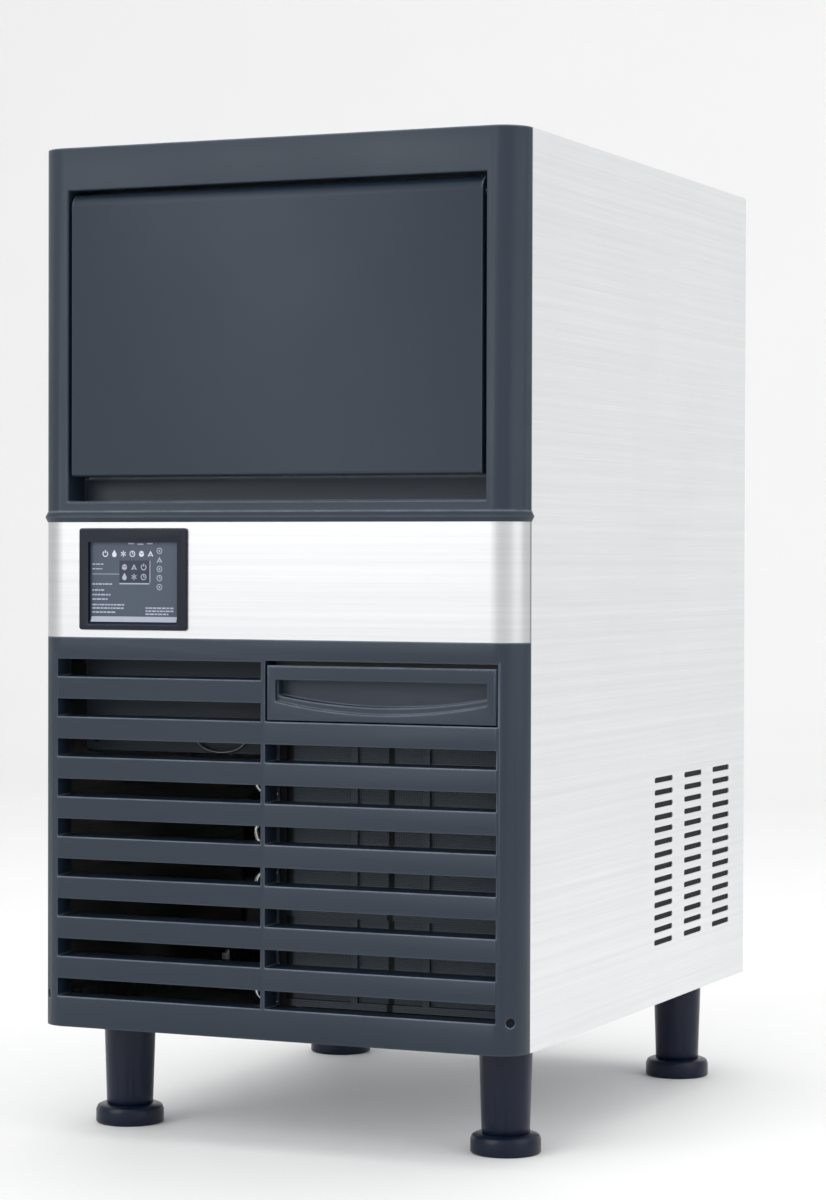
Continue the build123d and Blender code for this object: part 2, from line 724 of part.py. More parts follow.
# Control band: a stainless sheet bent round the corners, with a window for the controls
bezel_x0 = -half_w + BEZEL_SIDE
bezel_x1 = bezel_x0 + BEZEL_W
bezel_z0 = band_z + BEZEL_Z
bezel_z1 = bezel_z0 + BEZEL_H
with BuildPart() as control_band:
    outline, height = front_shell(band_z, frame_z, 0, side_y0)
    extrude(outline, amount=height)
    inside, height = front_shell(band_z + SHEET, frame_z - SHEET, SHEET, side_y0 + 1)
    extrude(inside, amount=height, mode=Mode.SUBTRACT)
    open_back, height = front_shell(band_z - 1, frame_z + 1, FLANGE, side_y0 + 1)
    extrude(open_back, amount=height, mode=Mode.SUBTRACT)
    block(bezel_x0 + BEZEL_LIP, bezel_x1 - BEZEL_LIP, front - 1, front + 2 * SHEET, bezel_z0 + BEZEL_LIP,
          bezel_z1 - BEZEL_LIP, Mode.SUBTRACT)
save(control_band, "control_band")

# Control bezel: a raised frame with a sloped sill, its lip behind the sheet and four posts for the board
window_x0 = bezel_x0 + BEZEL_SIDE_W
window_x1 = bezel_x1 - BEZEL_SIDE_W
window_z0 = bezel_z0 + BEZEL_SILL_W
window_z1 = bezel_z1 - BEZEL_HEAD_W
bezel_y = front - FRONT_REACH
post_inset = BEZEL_LIP + BOARD_POST_R
with BuildPart() as control_bezel:
    with BuildSketch(Plane.XZ.offset(-front)):
        with Locations(((bezel_x0 + bezel_x1) / 2, (bezel_z0 + bezel_z1) / 2)):
            RectangleRounded(BEZEL_W, BEZEL_H, BEZEL_R)
    extrude(amount=FRONT_REACH)
    fillet(control_bezel.faces().sort_by(Axis.Y)[0].edges(), BEZEL_EDGE_R)
    block(bezel_x0 + BEZEL_LIP, bezel_x1 - BEZEL_LIP, front, front + BEZEL_DEEP, bezel_z0 + BEZEL_LIP,
          bezel_z1 - BEZEL_LIP)
    block(window_x0, window_x1, bezel_y - 1, front + BEZEL_DEEP + 1, window_z0, window_z1, Mode.SUBTRACT)
    sill = control_bezel.edges().filter_by(Axis.X).filter_by(
        lambda e: abs(e.center().Y - bezel_y) < 0.1 and abs(e.center().Z - window_z0) < 0.1)
    chamfer(sill, BEZEL_SILL_CUT)
    for x in (bezel_x0 + post_inset, bezel_x1 - post_inset):
        for z in (bezel_z0 + post_inset, bezel_z1 - post_inset):
            rod(x, front + BEZEL_DEEP, z, BOARD_POST_R, BOARD_D - BEZEL_DEEP, Axis.Y)
save(control_bezel, "control_bezel")

# Membrane overlay, with a hole for the display window
display_x0 = bezel_x0 + DISPLAY_X
display_z0 = bezel_z0 + DISPLAY_Z
display_x1 = display_x0 + DISPLAY_W
display_z1 = display_z0 + DISPLAY_H
overlay_y = front + OVERLAY_SET
with BuildPart() as control_overlay:
    block(window_x0, window_x1, overlay_y, overlay_y + OVERLAY_T, window_z0, window_z1)
    block(display_x0, display_x1, front, front + BEZEL_DEEP, display_z0, display_z1, Mode.SUBTRACT)
save(control_overlay, "control_overlay")

with BuildPart() as display_window:
    block(display_x0, display_x1, overlay_y - DISPLAY_PROUD, overlay_y + DISPLAY_T, display_z0, display_z1)
save(display_window, "display_window")

# Control board on the bezel's posts, with the display module, a relay and a supply block
board_y = front + BOARD_D
board_mid = (bezel_z0 + bezel_z1) / 2
with BuildPart() as control_board:
    block(bezel_x0 + BEZEL_LIP, bezel_x1 + BOARD_REACH, board_y, board_y + BOARD_T, bezel_z0 + BEZEL_LIP,
          bezel_z1 - BEZEL_LIP)
    block(display_x0 - WALL, display_x1 + WALL, overlay_y + DISPLAY_T, board_y, display_z0 - WALL,
          display_z1 + WALL)
    for share, size in ((1 / 3, RELAY_SIZE), (2 / 3, SUPPLY_SIZE)):
        with Locations((bezel_x1 + share * BOARD_REACH, board_y + BOARD_T, board_mid)):
            Box(*size, align=(Align.CENTER, Align.MIN, Align.CENTER))
save(control_board, "control_board")

# Places of the drawer and of the slats
slat_top = band_z - SLAT_FIRST
slat_rows = int((slat_top - base - GRILLE_FOOT) / SLAT_PITCH) + 1
slot_x0 = -half_w + GRILLE_SIDE
slot_x1 = half_w - GRILLE_SIDE
slot_z0 = slat_top - (slat_rows - 1) * SLAT_PITCH
slot_z1 = band_z - GRILLE_HEAD
slat_2 = slat_top - SLAT_PITCH
drawer_x1 = slot_x1 - FIT_GAP
drawer_x0 = drawer_x1 - DRAWER_W
drawer_z0 = slat_2 + SLAT_FALL + FIT_GAP
drawer_z1 = drawer_z0 + DRAWER_H
bay_x0 = drawer_x0 - DRAWER_GAP
bay_x1 = drawer_x1 + DRAWER_GAP
bay_z1 = drawer_z1 + DRAWER_TOP_GAP
rib_x0 = bay_x0 - RIB_W
grille_back = front + SLAT_D

# Places of the dust filter, which hangs in two rails behind the slats
filter_x0 = bay_x0 + FILTER_SIDE
filter_x1 = slot_x1 - FILTER_SIDE
filter_z0 = base + FILTER_FOOT
filter_z1 = slat_2 - 2 * GUIDE_FLANGE
filter_y1 = grille_back + FILTER_T
rail_y1 = filter_y1 + FIT_GAP + FILTER_RAIL

# Front grille: a hollow frame with deep L-shaped louvres, a rib and an opening for the drawer
with BuildPart() as front_grille:
    outline, height = front_shell(base, band_z, 0, side_y0)
    extrude(outline, amount=height)
    inside, height = front_shell(base, band_z - WALL, WALL, side_y0)
    extrude(inside, amount=height, mode=Mode.SUBTRACT)
    block(slot_x0 - WALL, slot_x1 + WALL, front + 1, grille_back, slot_z0 - WALL, bay_z1 + SHEET)
    block(slot_x0, rib_x0, front - 1, grille_back + 1, slot_z0, slot_z1, Mode.SUBTRACT)
    block(bay_x0, slot_x1, front - 1, grille_back + 1, slot_z0, slat_2, Mode.SUBTRACT)
    block(bay_x0, bay_x1, front - 1, grille_back + 1, slat_2, bay_z1, Mode.SUBTRACT)
    for row in range(slat_rows - 1):
        slat_z = slat_top - row * SLAT_PITCH
        slat_end = rib_x0 if row == 0 else slot_x1
        with BuildSketch(Plane.YZ.offset(slot_x0)) as slat:
            with BuildLine():
                Polyline(
                    (front, slat_z - SLAT_H), (front + SLAT_T, slat_z - SLAT_H),
                    (front + SLAT_T, slat_z - SLAT_T), (grille_back, slat_z - SLAT_T + SLAT_FALL),
                    (grille_back, slat_z + SLAT_FALL), (front, slat_z), close=True,
                )
            make_face()
            fillet(slat.vertices().sort_by_distance((0, front, slat_z))[0], SLAT_NOSE_R)
        extrude(amount=slat_end - slot_x0)
    for wall_x, lip_x in ((filter_x0 - FIT_GAP, filter_x0 + FILTER_RAIL_LIP),
                          (filter_x1 + FIT_GAP, filter_x1 - FILTER_RAIL_LIP)):
        rail_x = wall_x + math.copysign(FILTER_RAIL, wall_x - lip_x)
        block(wall_x, rail_x, grille_back - 1, rail_y1, filter_z0, filter_z1)
        block(lip_x, rail_x, rail_y1 - FILTER_RAIL, rail_y1, filter_z0, filter_z1)
    for side in (-1, 1):
        with Locations(screw_spot(side, 0)):
            Cylinder(SCREW_HEAD_R, 2 * WALL, mode=Mode.SUBTRACT)
save(front_grille, "front_grille")

# Drawer front: an arched finger pull with a second, deeper lip inside it
with BuildPart() as drawer_front:
    block(drawer_x0, drawer_x1, front, front + DRAWER_T, drawer_z0, drawer_z1)
    fillet(drawer_front.faces().sort_by(Axis.Y)[0].edges(), DRAWER_EDGE_R)
    grip_x = (drawer_x0 + drawer_x1) / 2
    grip_half = DRAWER_W / 2 - GRIP_SIDE
    grip_z = drawer_z1 - GRIP_TOP
    for depth, lip in ((GRIP_STEP_D, 0), (GRIP_D, GRIP_LIP)):
        grip_x0 = grip_x - grip_half + lip / 5
        grip_x1 = grip_x + grip_half - lip / 5
        end_z = grip_z - GRIP_END_H + lip * 0.8
        with BuildSketch(Plane.XZ.offset(-front)):
            with BuildLine():
                ThreePointArc((grip_x0, end_z), (grip_x, grip_z - GRIP_MID_H + lip), (grip_x1, end_z))
                Polyline((grip_x1, end_z), (grip_x1, grip_z), (grip_x0, grip_z), (grip_x0, end_z))
            make_face()
        extrude(amount=-depth, mode=Mode.SUBTRACT)
save(drawer_front, "drawer_front")

# Drawer tray: an open bin for the scoop
tray_y0 = front + DRAWER_T
tray_y1 = tray_y0 + TRAY_L
tray_x0 = drawer_x0 + TRAY_SIDE
tray_x1 = drawer_x1 - TRAY_SIDE
tray_z0 = drawer_z0 + TRAY_FOOT
tray_z1 = drawer_z1 - TRAY_HEAD
with BuildPart() as drawer_tray:
    block(tray_x0, tray_x1, tray_y0, tray_y1, tray_z0, tray_z1)
    fillet(drawer_tray.edges().filter_by(Axis.Z).group_by(Axis.Y)[-1], TRAY_R)
    block(tray_x0 + TRAY_WALL, tray_x1 - TRAY_WALL, tray_y0 + TRAY_WALL, tray_y1 - TRAY_WALL,
          tray_z0 + TRAY_WALL, tray_z1 + 1, Mode.SUBTRACT)
save(drawer_tray, "drawer_tray")

# Drawer guide: a runway with lips over the tray, its flange on the back of the grille
guide_x0 = tray_x0 - GUIDE_GAP
guide_x1 = tray_x1 + GUIDE_GAP
guide_z0 = tray_z0 - GUIDE_GAP
guide_z1 = tray_z1 + GUIDE_WALL
guide_y1 = tray_y1 + GUIDE_STOP
with BuildPart() as drawer_guide:
    block(guide_x0 - GUIDE_WALL, guide_x1 + GUIDE_WALL, grille_back, guide_y1, guide_z0 - GUIDE_WALL,
          guide_z1)
    block(rib_x0, bay_x1 + GUIDE_FLANGE, grille_back, grille_back + GUIDE_WALL, slat_2 - GUIDE_FLANGE,
          guide_z1)
    block(guide_x0, guide_x1, grille_back - 1, guide_y1 - GUIDE_WALL, guide_z0, guide_z1 + 1, Mode.SUBTRACT)
    for x, reach in ((guide_x0, GUIDE_LIP), (guide_x1, -GUIDE_LIP)):
        block(x, x + reach, grille_back, guide_y1 - GUIDE_WALL, tray_z1 + GUIDE_GAP, guide_z1)
save(drawer_guide, "drawer_guide")

# Dust filter: a thin frame with nine mesh fields
with BuildPart() as dust_filter:
    block(filter_x0, filter_x1, grille_back, filter_y1, filter_z0, filter_z1)
    field_w = (filter_x1 - filter_x0 - FILTER_BAR) / 3
    field_h = (filter_z1 - filter_z0 - FILTER_BAR) / 3
    with BuildSketch(Plane.XZ.offset(-grille_back)):
        with Locations(((filter_x0 + filter_x1) / 2, (filter_z0 + filter_z1) / 2)):
            with GridLocations(field_w, field_h, 3, 3):
                Rectangle(field_w - FILTER_BAR, field_h - FILTER_BAR)
    extrude(amount=FILTER_MESH_D - FILTER_T, mode=Mode.SUBTRACT)
save(dust_filter, "dust_filter")

# Electrical box: a flat-fronted steel box hung from the shelf, behind the left top of the grille
box_x0 = -half_w + BOX_SIDE
box_x1 = guide_x0 - BOX_SIDE
box_y0 = front + BOX_SET
box_z1 = shelf_z - SHEET
with BuildPart() as electrical_box:
    block(box_x0, box_x1, box_y0, box_y0 + BOX_D, box_z1 - BOX_H, box_z1)
    fillet(electrical_box.edges().filter_by(Axis.Y), BOX_R)
    block(box_x0 + SHEET, box_x1 - SHEET, box_y0 + SHEET, box_y0 + BOX_D + 1, box_z1 - BOX_H + SHEET,
          box_z1 - SHEET, Mode.SUBTRACT)
save(electrical_box, "electrical_box")

# Condenser: two upright headers on pins, flat tubes between them, folded fins between the tubes
cond_x1 = half_w - CONDENSER_SIDE
cond_x0 = cond_x1 - CONDENSER_W
header_x0 = cond_x0 + HEADER_R
header_x1 = cond_x1 - HEADER_R
cond_y = front + CONDENSER_SET
header_y = cond_y + CONDENSER_T / 2
cond_z = pan_floor + CONDENSER_FOOT_H
cond_z1 = cond_z + CONDENSER_H
tube_pitch = (CONDENSER_H - 2 * HEADER_END) / (FLAT_TUBES - 1)
with BuildPart() as condenser_tubes:
    for x in (header_x0, header_x1):
        rod(x, header_y, cond_z, HEADER_R, CONDENSER_H)
        rod(x, header_y, pan_floor, CONDENSER_PIN_R, CONDENSER_FOOT_H)
        rod(x, header_y, pan_floor, PIN_FLANGE_R, FLAT_TUBE_H)
    for row in range(FLAT_TUBES):
        tube_z = cond_z + HEADER_END + row * tube_pitch
        block(header_x0, header_x1, header_y - FLAT_TUBE_D / 2, header_y + FLAT_TUBE_D / 2,
              tube_z - FLAT_TUBE_H / 2, tube_z + FLAT_TUBE_H / 2)
save(condenser_tubes, "condenser_tubes")

fin_x0 = header_x0 + HEADER_R + FIN_SIDE
fin_x1 = header_x1 - HEADER_R - FIN_SIDE
fin_step = (fin_x1 - fin_x0) / FIN_FOLDS
with BuildPart() as condenser_fins:
    for row in range(FLAT_TUBES - 1):
        z0 = cond_z + HEADER_END + row * tube_pitch + FLAT_TUBE_H / 2
        z1 = z0 + tube_pitch - FLAT_TUBE_H
        lower = [(fin_x0 + i * fin_step, z1 - FIN_T if i % 2 else z0) for i in range(FIN_FOLDS + 1)]
        upper = [(x, z + FIN_T) for x, z in reversed(lower)]
        with BuildSketch(Plane.XZ.offset(FIN_D / 2 - header_y)):
            with BuildLine():
                Polyline(*lower, *upper, close=True)
            make_face()
        extrude(amount=-FIN_D)
save(condenser_fins, "condenser_fins")

# Fan shroud: a box duct with a ring, legs on the base pan and saddles on the headers
shroud_x0 = header_x0 + SHROUD_SIDE
shroud_x1 = header_x1 - SHROUD_SIDE
shroud_z0 = cond_z + SHROUD_END
shroud_z1 = cond_z1 - SHROUD_END
shroud_y0 = cond_y + CONDENSER_T
shroud_y1 = shroud_y0 + SHROUD_D
fan_x = (shroud_x0 + shroud_x1) / 2
fan_z = (shroud_z0 + shroud_z1) / 2
ring_r = min(shroud_x1 - shroud_x0, shroud_z1 - shroud_z0) / 2 - FAN_EDGE
fan_r = ring_r - FAN_TIP_GAP
with BuildPart() as fan_shroud:
    block(shroud_x0, shroud_x1, shroud_y0, shroud_y1, shroud_z0, shroud_z1)
    block(shroud_x0 + SHROUD_T, shroud_x1 - SHROUD_T, shroud_y0 - 1, shroud_y1 - SHROUD_T,
          shroud_z0 + SHROUD_T, shroud_z1 - SHROUD_T, Mode.SUBTRACT)
    rod(fan_x, shroud_y1, fan_z, ring_r + SHROUD_T, -SHROUD_RING, Axis.Y)
    rod(fan_x, shroud_y1 + 1, fan_z, ring_r, -SHROUD_D, Axis.Y, Mode.SUBTRACT)
    for x, inner_x, header_x in ((shroud_x0, shroud_x0 + SHROUD_T, header_x0),
                                 (shroud_x1, shroud_x1 - SHROUD_T, header_x1)):
        block(x, inner_x, shroud_y0, shroud_y1, pan_floor, shroud_z0 + SHROUD_T)
        for row in SADDLE_ROWS:
            saddle_z = cond_z + HEADER_END + row * tube_pitch
            block(header_x, inner_x, header_y, shroud_y0 + SHROUD_T, saddle_z - SADDLE_H / 2,
                  saddle_z + SADDLE_H / 2)
        rod(header_x, header_y, cond_z, HEADER_R, CONDENSER_H, mode=Mode.SUBTRACT)
    rod(*leg_spots["front_right"], pan_floor, STEM_R + SHEET + FIT_GAP, LEG_BOSS_H, mode=Mode.SUBTRACT)
save(fan_shroud, "fan_shroud")

# Fan: hub and twisted blades, pressed on the motor shaft
fan_y = shroud_y1 - HUB_AHEAD
motor_y = fan_y + MOTOR_SET
root_r = HUB_R - BLADE_LAP
tip_r = fan_r - BLADE_LAP
with BuildPart() as fan_blade:
    rod(fan_x, fan_y - HUB_AHEAD, fan_z, HUB_R, HUB_L, Axis.Y)
    chamfer(fan_blade.edges().sort_by(Axis.Y)[0], HUB_EDGE)
    for blade in range(FAN_BLADES):
        turn = Location((fan_x, fan_y - BLADE_T, fan_z), (0, blade * 360 / FAN_BLADES, 0))
        with BuildSketch(Plane(turn * Location((0, 0, 0), (90 - BLADE_PITCH, 0, 0)))) as outline:
            with BuildLine():
                Polyline((root_r, -BLADE_ROOT), (root_r, BLADE_ROOT))
                ThreePointArc((root_r, BLADE_ROOT), (0.7 * tip_r, BLADE_BELLY), (tip_r, BLADE_LEAD))
                Line((tip_r, BLADE_LEAD), (tip_r - BLADE_LAP, -BLADE_TRAIL))
                ThreePointArc((tip_r - BLADE_LAP, -BLADE_TRAIL), (0.6 * tip_r, -BLADE_HOLLOW),
                              (root_r, -BLADE_ROOT))
            make_face()
            fillet(outline.vertices().group_by(Axis.X)[-1], BLADE_TIP_R)
        extrude(amount=BLADE_T / 2, both=True)
    rod(fan_x, fan_y + HUB_L, fan_z, SHAFT_R, -HUB_L - SHAFT_SEAT, Axis.Y, Mode.SUBTRACT)
save(fan_blade, "fan_blade")

with BuildPart() as fan_shaft:
    rod(fan_x, fan_y - SHAFT_SEAT, fan_z, SHAFT_R, SHAFT_SEAT + MOTOR_SET - MOTOR_BOSS_L - FIT_GAP, Axis.Y)
save(fan_shaft, "fan_shaft")

# Fan motor in the clamp of a four-armed bracket, which stands on the shroud
with BuildPart() as fan_motor:
    rod(fan_x, motor_y, fan_z, MOTOR_R, MOTOR_L, Axis.Y)
    chamfer(fan_motor.edges().group_by(Axis.Y)[-1], MOTOR_EDGE)
    chamfer(fan_motor.edges().group_by(Axis.Y)[0], MOTOR_EDGE / 3)
    rod(fan_x, motor_y - MOTOR_BOSS_L, fan_z, BOSS_R, MOTOR_BOSS_L, Axis.Y)
save(fan_motor, "fan_motor")

clamp_y = motor_y + CLAMP_L
arm_reach = ring_r + SHROUD_T + ARM_T
arm_mid = arm_reach - ARM_T / 2
with BuildPart() as motor_bracket:
    rod(fan_x, clamp_y, fan_z, MOTOR_R + ARM_T, CLAMP_L, Axis.Y)
    with BuildSketch(Plane.XZ.offset(-clamp_y)):
        with Locations((fan_x, fan_z)):
            Rectangle(2 * arm_reach, ARM_W)
            Rectangle(ARM_W, 2 * arm_reach)
    extrude(amount=-ARM_T)
    for dx, dz in ((1, 0), (-1, 0), (0, 1), (0, -1)):
        with Locations((fan_x + dx * arm_mid, shroud_y1, fan_z + dz * arm_mid)):
            Box(ARM_W if dz else ARM_T, clamp_y + ARM_T - shroud_y1, ARM_W if dx else ARM_T,
                align=(Align.CENTER, Align.MIN, Align.CENTER))
    rod(fan_x, motor_y - 1, fan_z, MOTOR_R, 2 * MOTOR_L, Axis.Y, Mode.SUBTRACT)
save(motor_bracket, "motor_bracket")

# Compressor: one welded steel shell with a girth flange, a foot plate and two stubs
comp_x = -half_w + COMPRESSOR_SIDE
comp_y = back - COMPRESSOR_REAR
foot_x = (COMPRESSOR_R + FOOT_HOLE_OUT) * math.cos(math.radians(FOOT_HOLE_TURN))
foot_y = (COMPRESSOR_R + FOOT_HOLE_OUT) * math.sin(math.radians(FOOT_HOLE_TURN))
plate_z = pan_floor + GROMMET_H
shell_z = plate_z + FOOT_PLATE_T
shell_z1 = shell_z + COMPRESSOR_H
girth_z = shell_z + GIRTH_Z
lap = GIRTH_OUT - WALL
stub_z = base + STUB_Z
stub_out = COMPRESSOR_R + STUB_OUT
with BuildPart() as compressor_shell:
    with BuildSketch(Plane.XZ.offset(-comp_y)) as half_section:
        with BuildLine():
            Polyline(
                (comp_x, shell_z), (comp_x + COMPRESSOR_R, shell_z), (comp_x + COMPRESSOR_R, girth_z),
                (comp_x + COMPRESSOR_R + GIRTH_OUT, girth_z),
                (comp_x + COMPRESSOR_R + GIRTH_OUT, girth_z + GIRTH_OUT),
                (comp_x + COMPRESSOR_R - lap, girth_z + GIRTH_OUT), (comp_x + COMPRESSOR_R - lap, shell_z1),
                (comp_x, shell_z1), close=True,
            )
        make_face()
        outer = half_section.vertices().filter_by(lambda v: v.X > comp_x + 1)
        fillet(outer.sort_by(Axis.Y)[0], SHELL_LOW_R)
        outer = half_section.vertices().filter_by(lambda v: v.X > comp_x + 1)
        fillet(outer.sort_by(Axis.Y)[-1], SHELL_TOP_R)
    revolve(axis=Axis((comp_x, comp_y, 0), (0, 0, 1)))
    rod(comp_x + COMPRESSOR_R / 2, comp_y, stub_z, STUB_R, stub_out - COMPRESSOR_R / 2, Axis.X)
    rod(comp_x, comp_y + COMPRESSOR_R / 2, stub_z, STUB_R, stub_out - COMPRESSOR_R / 2, Axis.Y)
    with BuildSketch(Plane.XY.offset(plate_z)):
        with Locations((comp_x, comp_y)):
            RectangleRounded(2 * (foot_x + FOOT_PLATE_EDGE), 2 * (foot_y + FOOT_PLATE_EDGE),
                             FOOT_PLATE_EDGE - 1)
            with GridLocations(2 * foot_x, 2 * foot_y, 2, 2):
                Circle(GROMMET_NECK_R + FIT_GAP, mode=Mode.SUBTRACT)
    extrude(amount=FOOT_PLATE_T)
save(compressor_shell, "compressor_shell")

# Grommets that carry the foot plate, and the studs and nuts that hold it
stand = (Align.CENTER, Align.CENTER, Align.MIN)
with BuildPart() as compressor_grommets:
    with Locations((comp_x, comp_y, pan_floor)):
        with GridLocations(2 * foot_x, 2 * foot_y, 2, 2):
            Cylinder(GROMMET_R, GROMMET_H, align=stand)
            Cylinder(GROMMET_NECK_R, GROMMET_H + FOOT_PLATE_T + GROMMET_TOP, align=stand)
            Cylinder(STUD_R + FIT_GAP, 3 * GROMMET_H, mode=Mode.SUBTRACT)
save(compressor_grommets, "compressor_grommets")

with BuildPart() as compressor_studs:
    with Locations((comp_x, comp_y, pan_floor)):
        with GridLocations(2 * foot_x, 2 * foot_y, 2, 2):
            Cylinder(STUD_R, GROMMET_H + FOOT_PLATE_T + STUD_TOP, align=stand)
    with BuildSketch(Plane.XY.offset(shell_z + GROMMET_TOP)):
        with Locations((comp_x, comp_y)):
            with GridLocations(2 * foot_x, 2 * foot_y, 2, 2):
                RegularPolygon(STUD_NUT_R, 6)
    extrude(amount=STUD_NUT_H)
save(compressor_studs, "compressor_studs")

# Terminal cover: a clip-on cap that bears on the shell along one band
cover_z0 = shell_z + COVER_Z - COVER_H / 2
cover_y0 = comp_y - COMPRESSOR_R - COVER_D + GIRTH_OUT
with BuildPart() as terminal_cover:
    block(comp_x - COVER_W / 2, comp_x + COVER_W / 2, cover_y0, cover_y0 + COVER_D, cover_z0,
          cover_z0 + COVER_H)
    fillet(terminal_cover.faces().sort_by(Axis.Y)[0].edges(), COVER_R)
    rod(comp_x, comp_y, shell_z, COMPRESSOR_R, COMPRESSOR_H, mode=Mode.SUBTRACT)
    rod(comp_x, comp_y, cover_z0 + COVER_BAND, COMPRESSOR_R + GIRTH_OUT + FIT_GAP, COVER_H,
        mode=Mode.SUBTRACT)
save(terminal_cover, "terminal_cover")

# Refrigerant lines, all brazed end to end
deep_duct_y = back - DUCT_DEEP
shallow_duct_y = back - DUCT_SHALLOW
duct_z = stub_z + DUCT_RISE
tube_y = grid_y + GRID_D + TUBE_R
line_z = cond_z1 - LINE_DROP
line_y = shroud_y1 + DRIER_BEHIND
header_back = header_y + HEADER_R
with BuildPart() as discharge_line:
    line_x = header_x0 + DUCT_SHALLOW + 2
    pipe((
        (comp_x + stub_out, comp_y, stub_z), (line_x, comp_y, stub_z), (line_x, comp_y, line_z),
        (header_x0, line_y, line_z), (header_x0, header_back, line_z),
    ), DUCT_SHALLOW, PIPE_R)
save(discharge_line, "discharge_line")

drier_z = cond_z + DRIER_Z
drier_y1 = line_y + DRIER_L
neck_z = drier_z + PIPE_R + 1
with BuildPart() as filter_drier:
    with BuildSketch(Plane.YZ.offset(header_x0)):
        with BuildLine():
            Polyline(
                (line_y, drier_z), (line_y, neck_z), (line_y + DRIER_NECK, neck_z),
                (line_y + 2 * DRIER_NECK, drier_z + DRIER_R), (drier_y1 - 2 * DRIER_NECK, drier_z + DRIER_R),
                (drier_y1 - DRIER_NECK, neck_z), (drier_y1, neck_z), (drier_y1, drier_z), close=True,
            )
        make_face()
    revolve(axis=Axis((header_x0, line_y, drier_z), (0, 1, 0)))
    rod(header_x0, header_back, drier_z, PIPE_R, line_y - header_back + 1, Axis.Y)
save(filter_drier, "filter_drier")

with BuildPart() as capillary_line:
    pipe((
        (header_x0, drier_y1, drier_z), (header_x0, shallow_duct_y, drier_z),
        (-port_x, shallow_duct_y, duct_z), (-port_x, shallow_duct_y, liquid_z),
        (-port_x, tube_y, liquid_z), (-run_x, tube_y, liquid_z),
    ), PIPE_BEND, CAPILLARY_R)
save(capillary_line, "capillary_line")

with BuildPart() as suction_line:
    pipe((
        (comp_x, comp_y + stub_out, stub_z), (comp_x, deep_duct_y, stub_z),
        (port_x, deep_duct_y, duct_z), (port_x, deep_duct_y, suction_z),
        (port_x, tube_y, suction_z), (run_x, tube_y, suction_z),
    ), PIPE_BEND, SUCTION_R)
save(suction_line, "suction_line")

# Evaporator grid: a plate with crossed dividers, one cube in each cell
with BuildPart() as evaporator_grid:
    block(-cheek_x, cheek_x, grid_y + GRID_D - PLATE_D, grid_y + GRID_D, grid_z, grid_z + GRID_H)
    with Locations((0, grid_y + GRID_D / 2, grid_z + GRID_H / 2)):
        with GridLocations((grid_w - DIVIDER_T) / GRID_COLUMNS, 1, GRID_COLUMNS + 1, 1):
            Box(DIVIDER_T, GRID_D, GRID_H)
    for row in range(GRID_ROWS + 1):
        divider_z = grid_z + row * (GRID_H - DIVIDER_T) / GRID_ROWS
        block(-cheek_x, cheek_x, grid_y, grid_y + GRID_D, divider_z, divider_z + DIVIDER_T)
save(evaporator_grid, "evaporator_grid")

# Evaporator tube: one serpentine soldered to the back of the plate
run_pitch = (GRID_H - 2 * TUBE_EDGE) / (TUBE_RUNS - 1)
with BuildPart() as evaporator_tube:
    with BuildLine(Plane.XZ.offset(-tube_y)) as serpentine:
        for run in range(TUBE_RUNS):
            side = -1 if run % 2 else 1
            run_z = liquid_z + run * run_pitch
            Line((-side * run_x, run_z), (side * run_x, run_z))
            if run < TUBE_RUNS - 1:
                ThreePointArc((side * run_x, run_z), (side * (run_x + run_pitch / 2), run_z + run_pitch / 2),
                              (side * run_x, run_z + run_pitch))
    with BuildSketch(Plane(origin=(-run_x, tube_y, liquid_z), z_dir=(1, 0, 0))) as end:
        Circle(TUBE_R)
    sweep(end.sketch, path=serpentine.line)
save(evaporator_tube, "evaporator_tube")

# Evaporator brackets: two moulded cheeks that hang the grid, the distributor and the curtain
cheek_y0 = grid_y - CHEEK_FRONT
cheek_y1 = grid_y + GRID_D + CHEEK_REAR
curtain_y = grid_y - CURTAIN_AHEAD
curtain_z = grid_z + GRID_H - CURTAIN_DROP
with BuildPart() as evaporator_brackets:
    for side in (-1, 1):
        block(side * cheek_x, side * (cheek_x + CHEEK_T), cheek_y0, cheek_y1, grid_z - CHEEK_T, bin_ceiling)
        block(side * cheek_x, side * (cheek_x + CHEEK_EAR), cheek_y0, cheek_y1, bin_ceiling - WALL,
              bin_ceiling)
        rod(side * (cheek_x - 1), curtain_y, curtain_z, CURTAIN_PIN_R + RUN_GAP, side * (CHEEK_T + 2),
            Axis.X, Mode.SUBTRACT)
save(evaporator_brackets, "evaporator_brackets")

# Water distributor: a perforated tube over the grid, fed by the pump
distributor_y = grid_y + GRID_D / 2
distributor_z = grid_z + GRID_H + DISTRIBUTOR_R + CURTAIN_T
with BuildPart() as water_distributor:
    rod(-cheek_x, distributor_y, distributor_z, DISTRIBUTOR_R, grid_w, Axis.X)
    with Locations((0, distributor_y - DISTRIBUTOR_R, distributor_z)):
        with GridLocations(grid_w / GRID_COLUMNS, 1, GRID_COLUMNS, 1):
            Box(JET, 2 * JET, JET, mode=Mode.SUBTRACT)
save(water_distributor, "water_distributor")

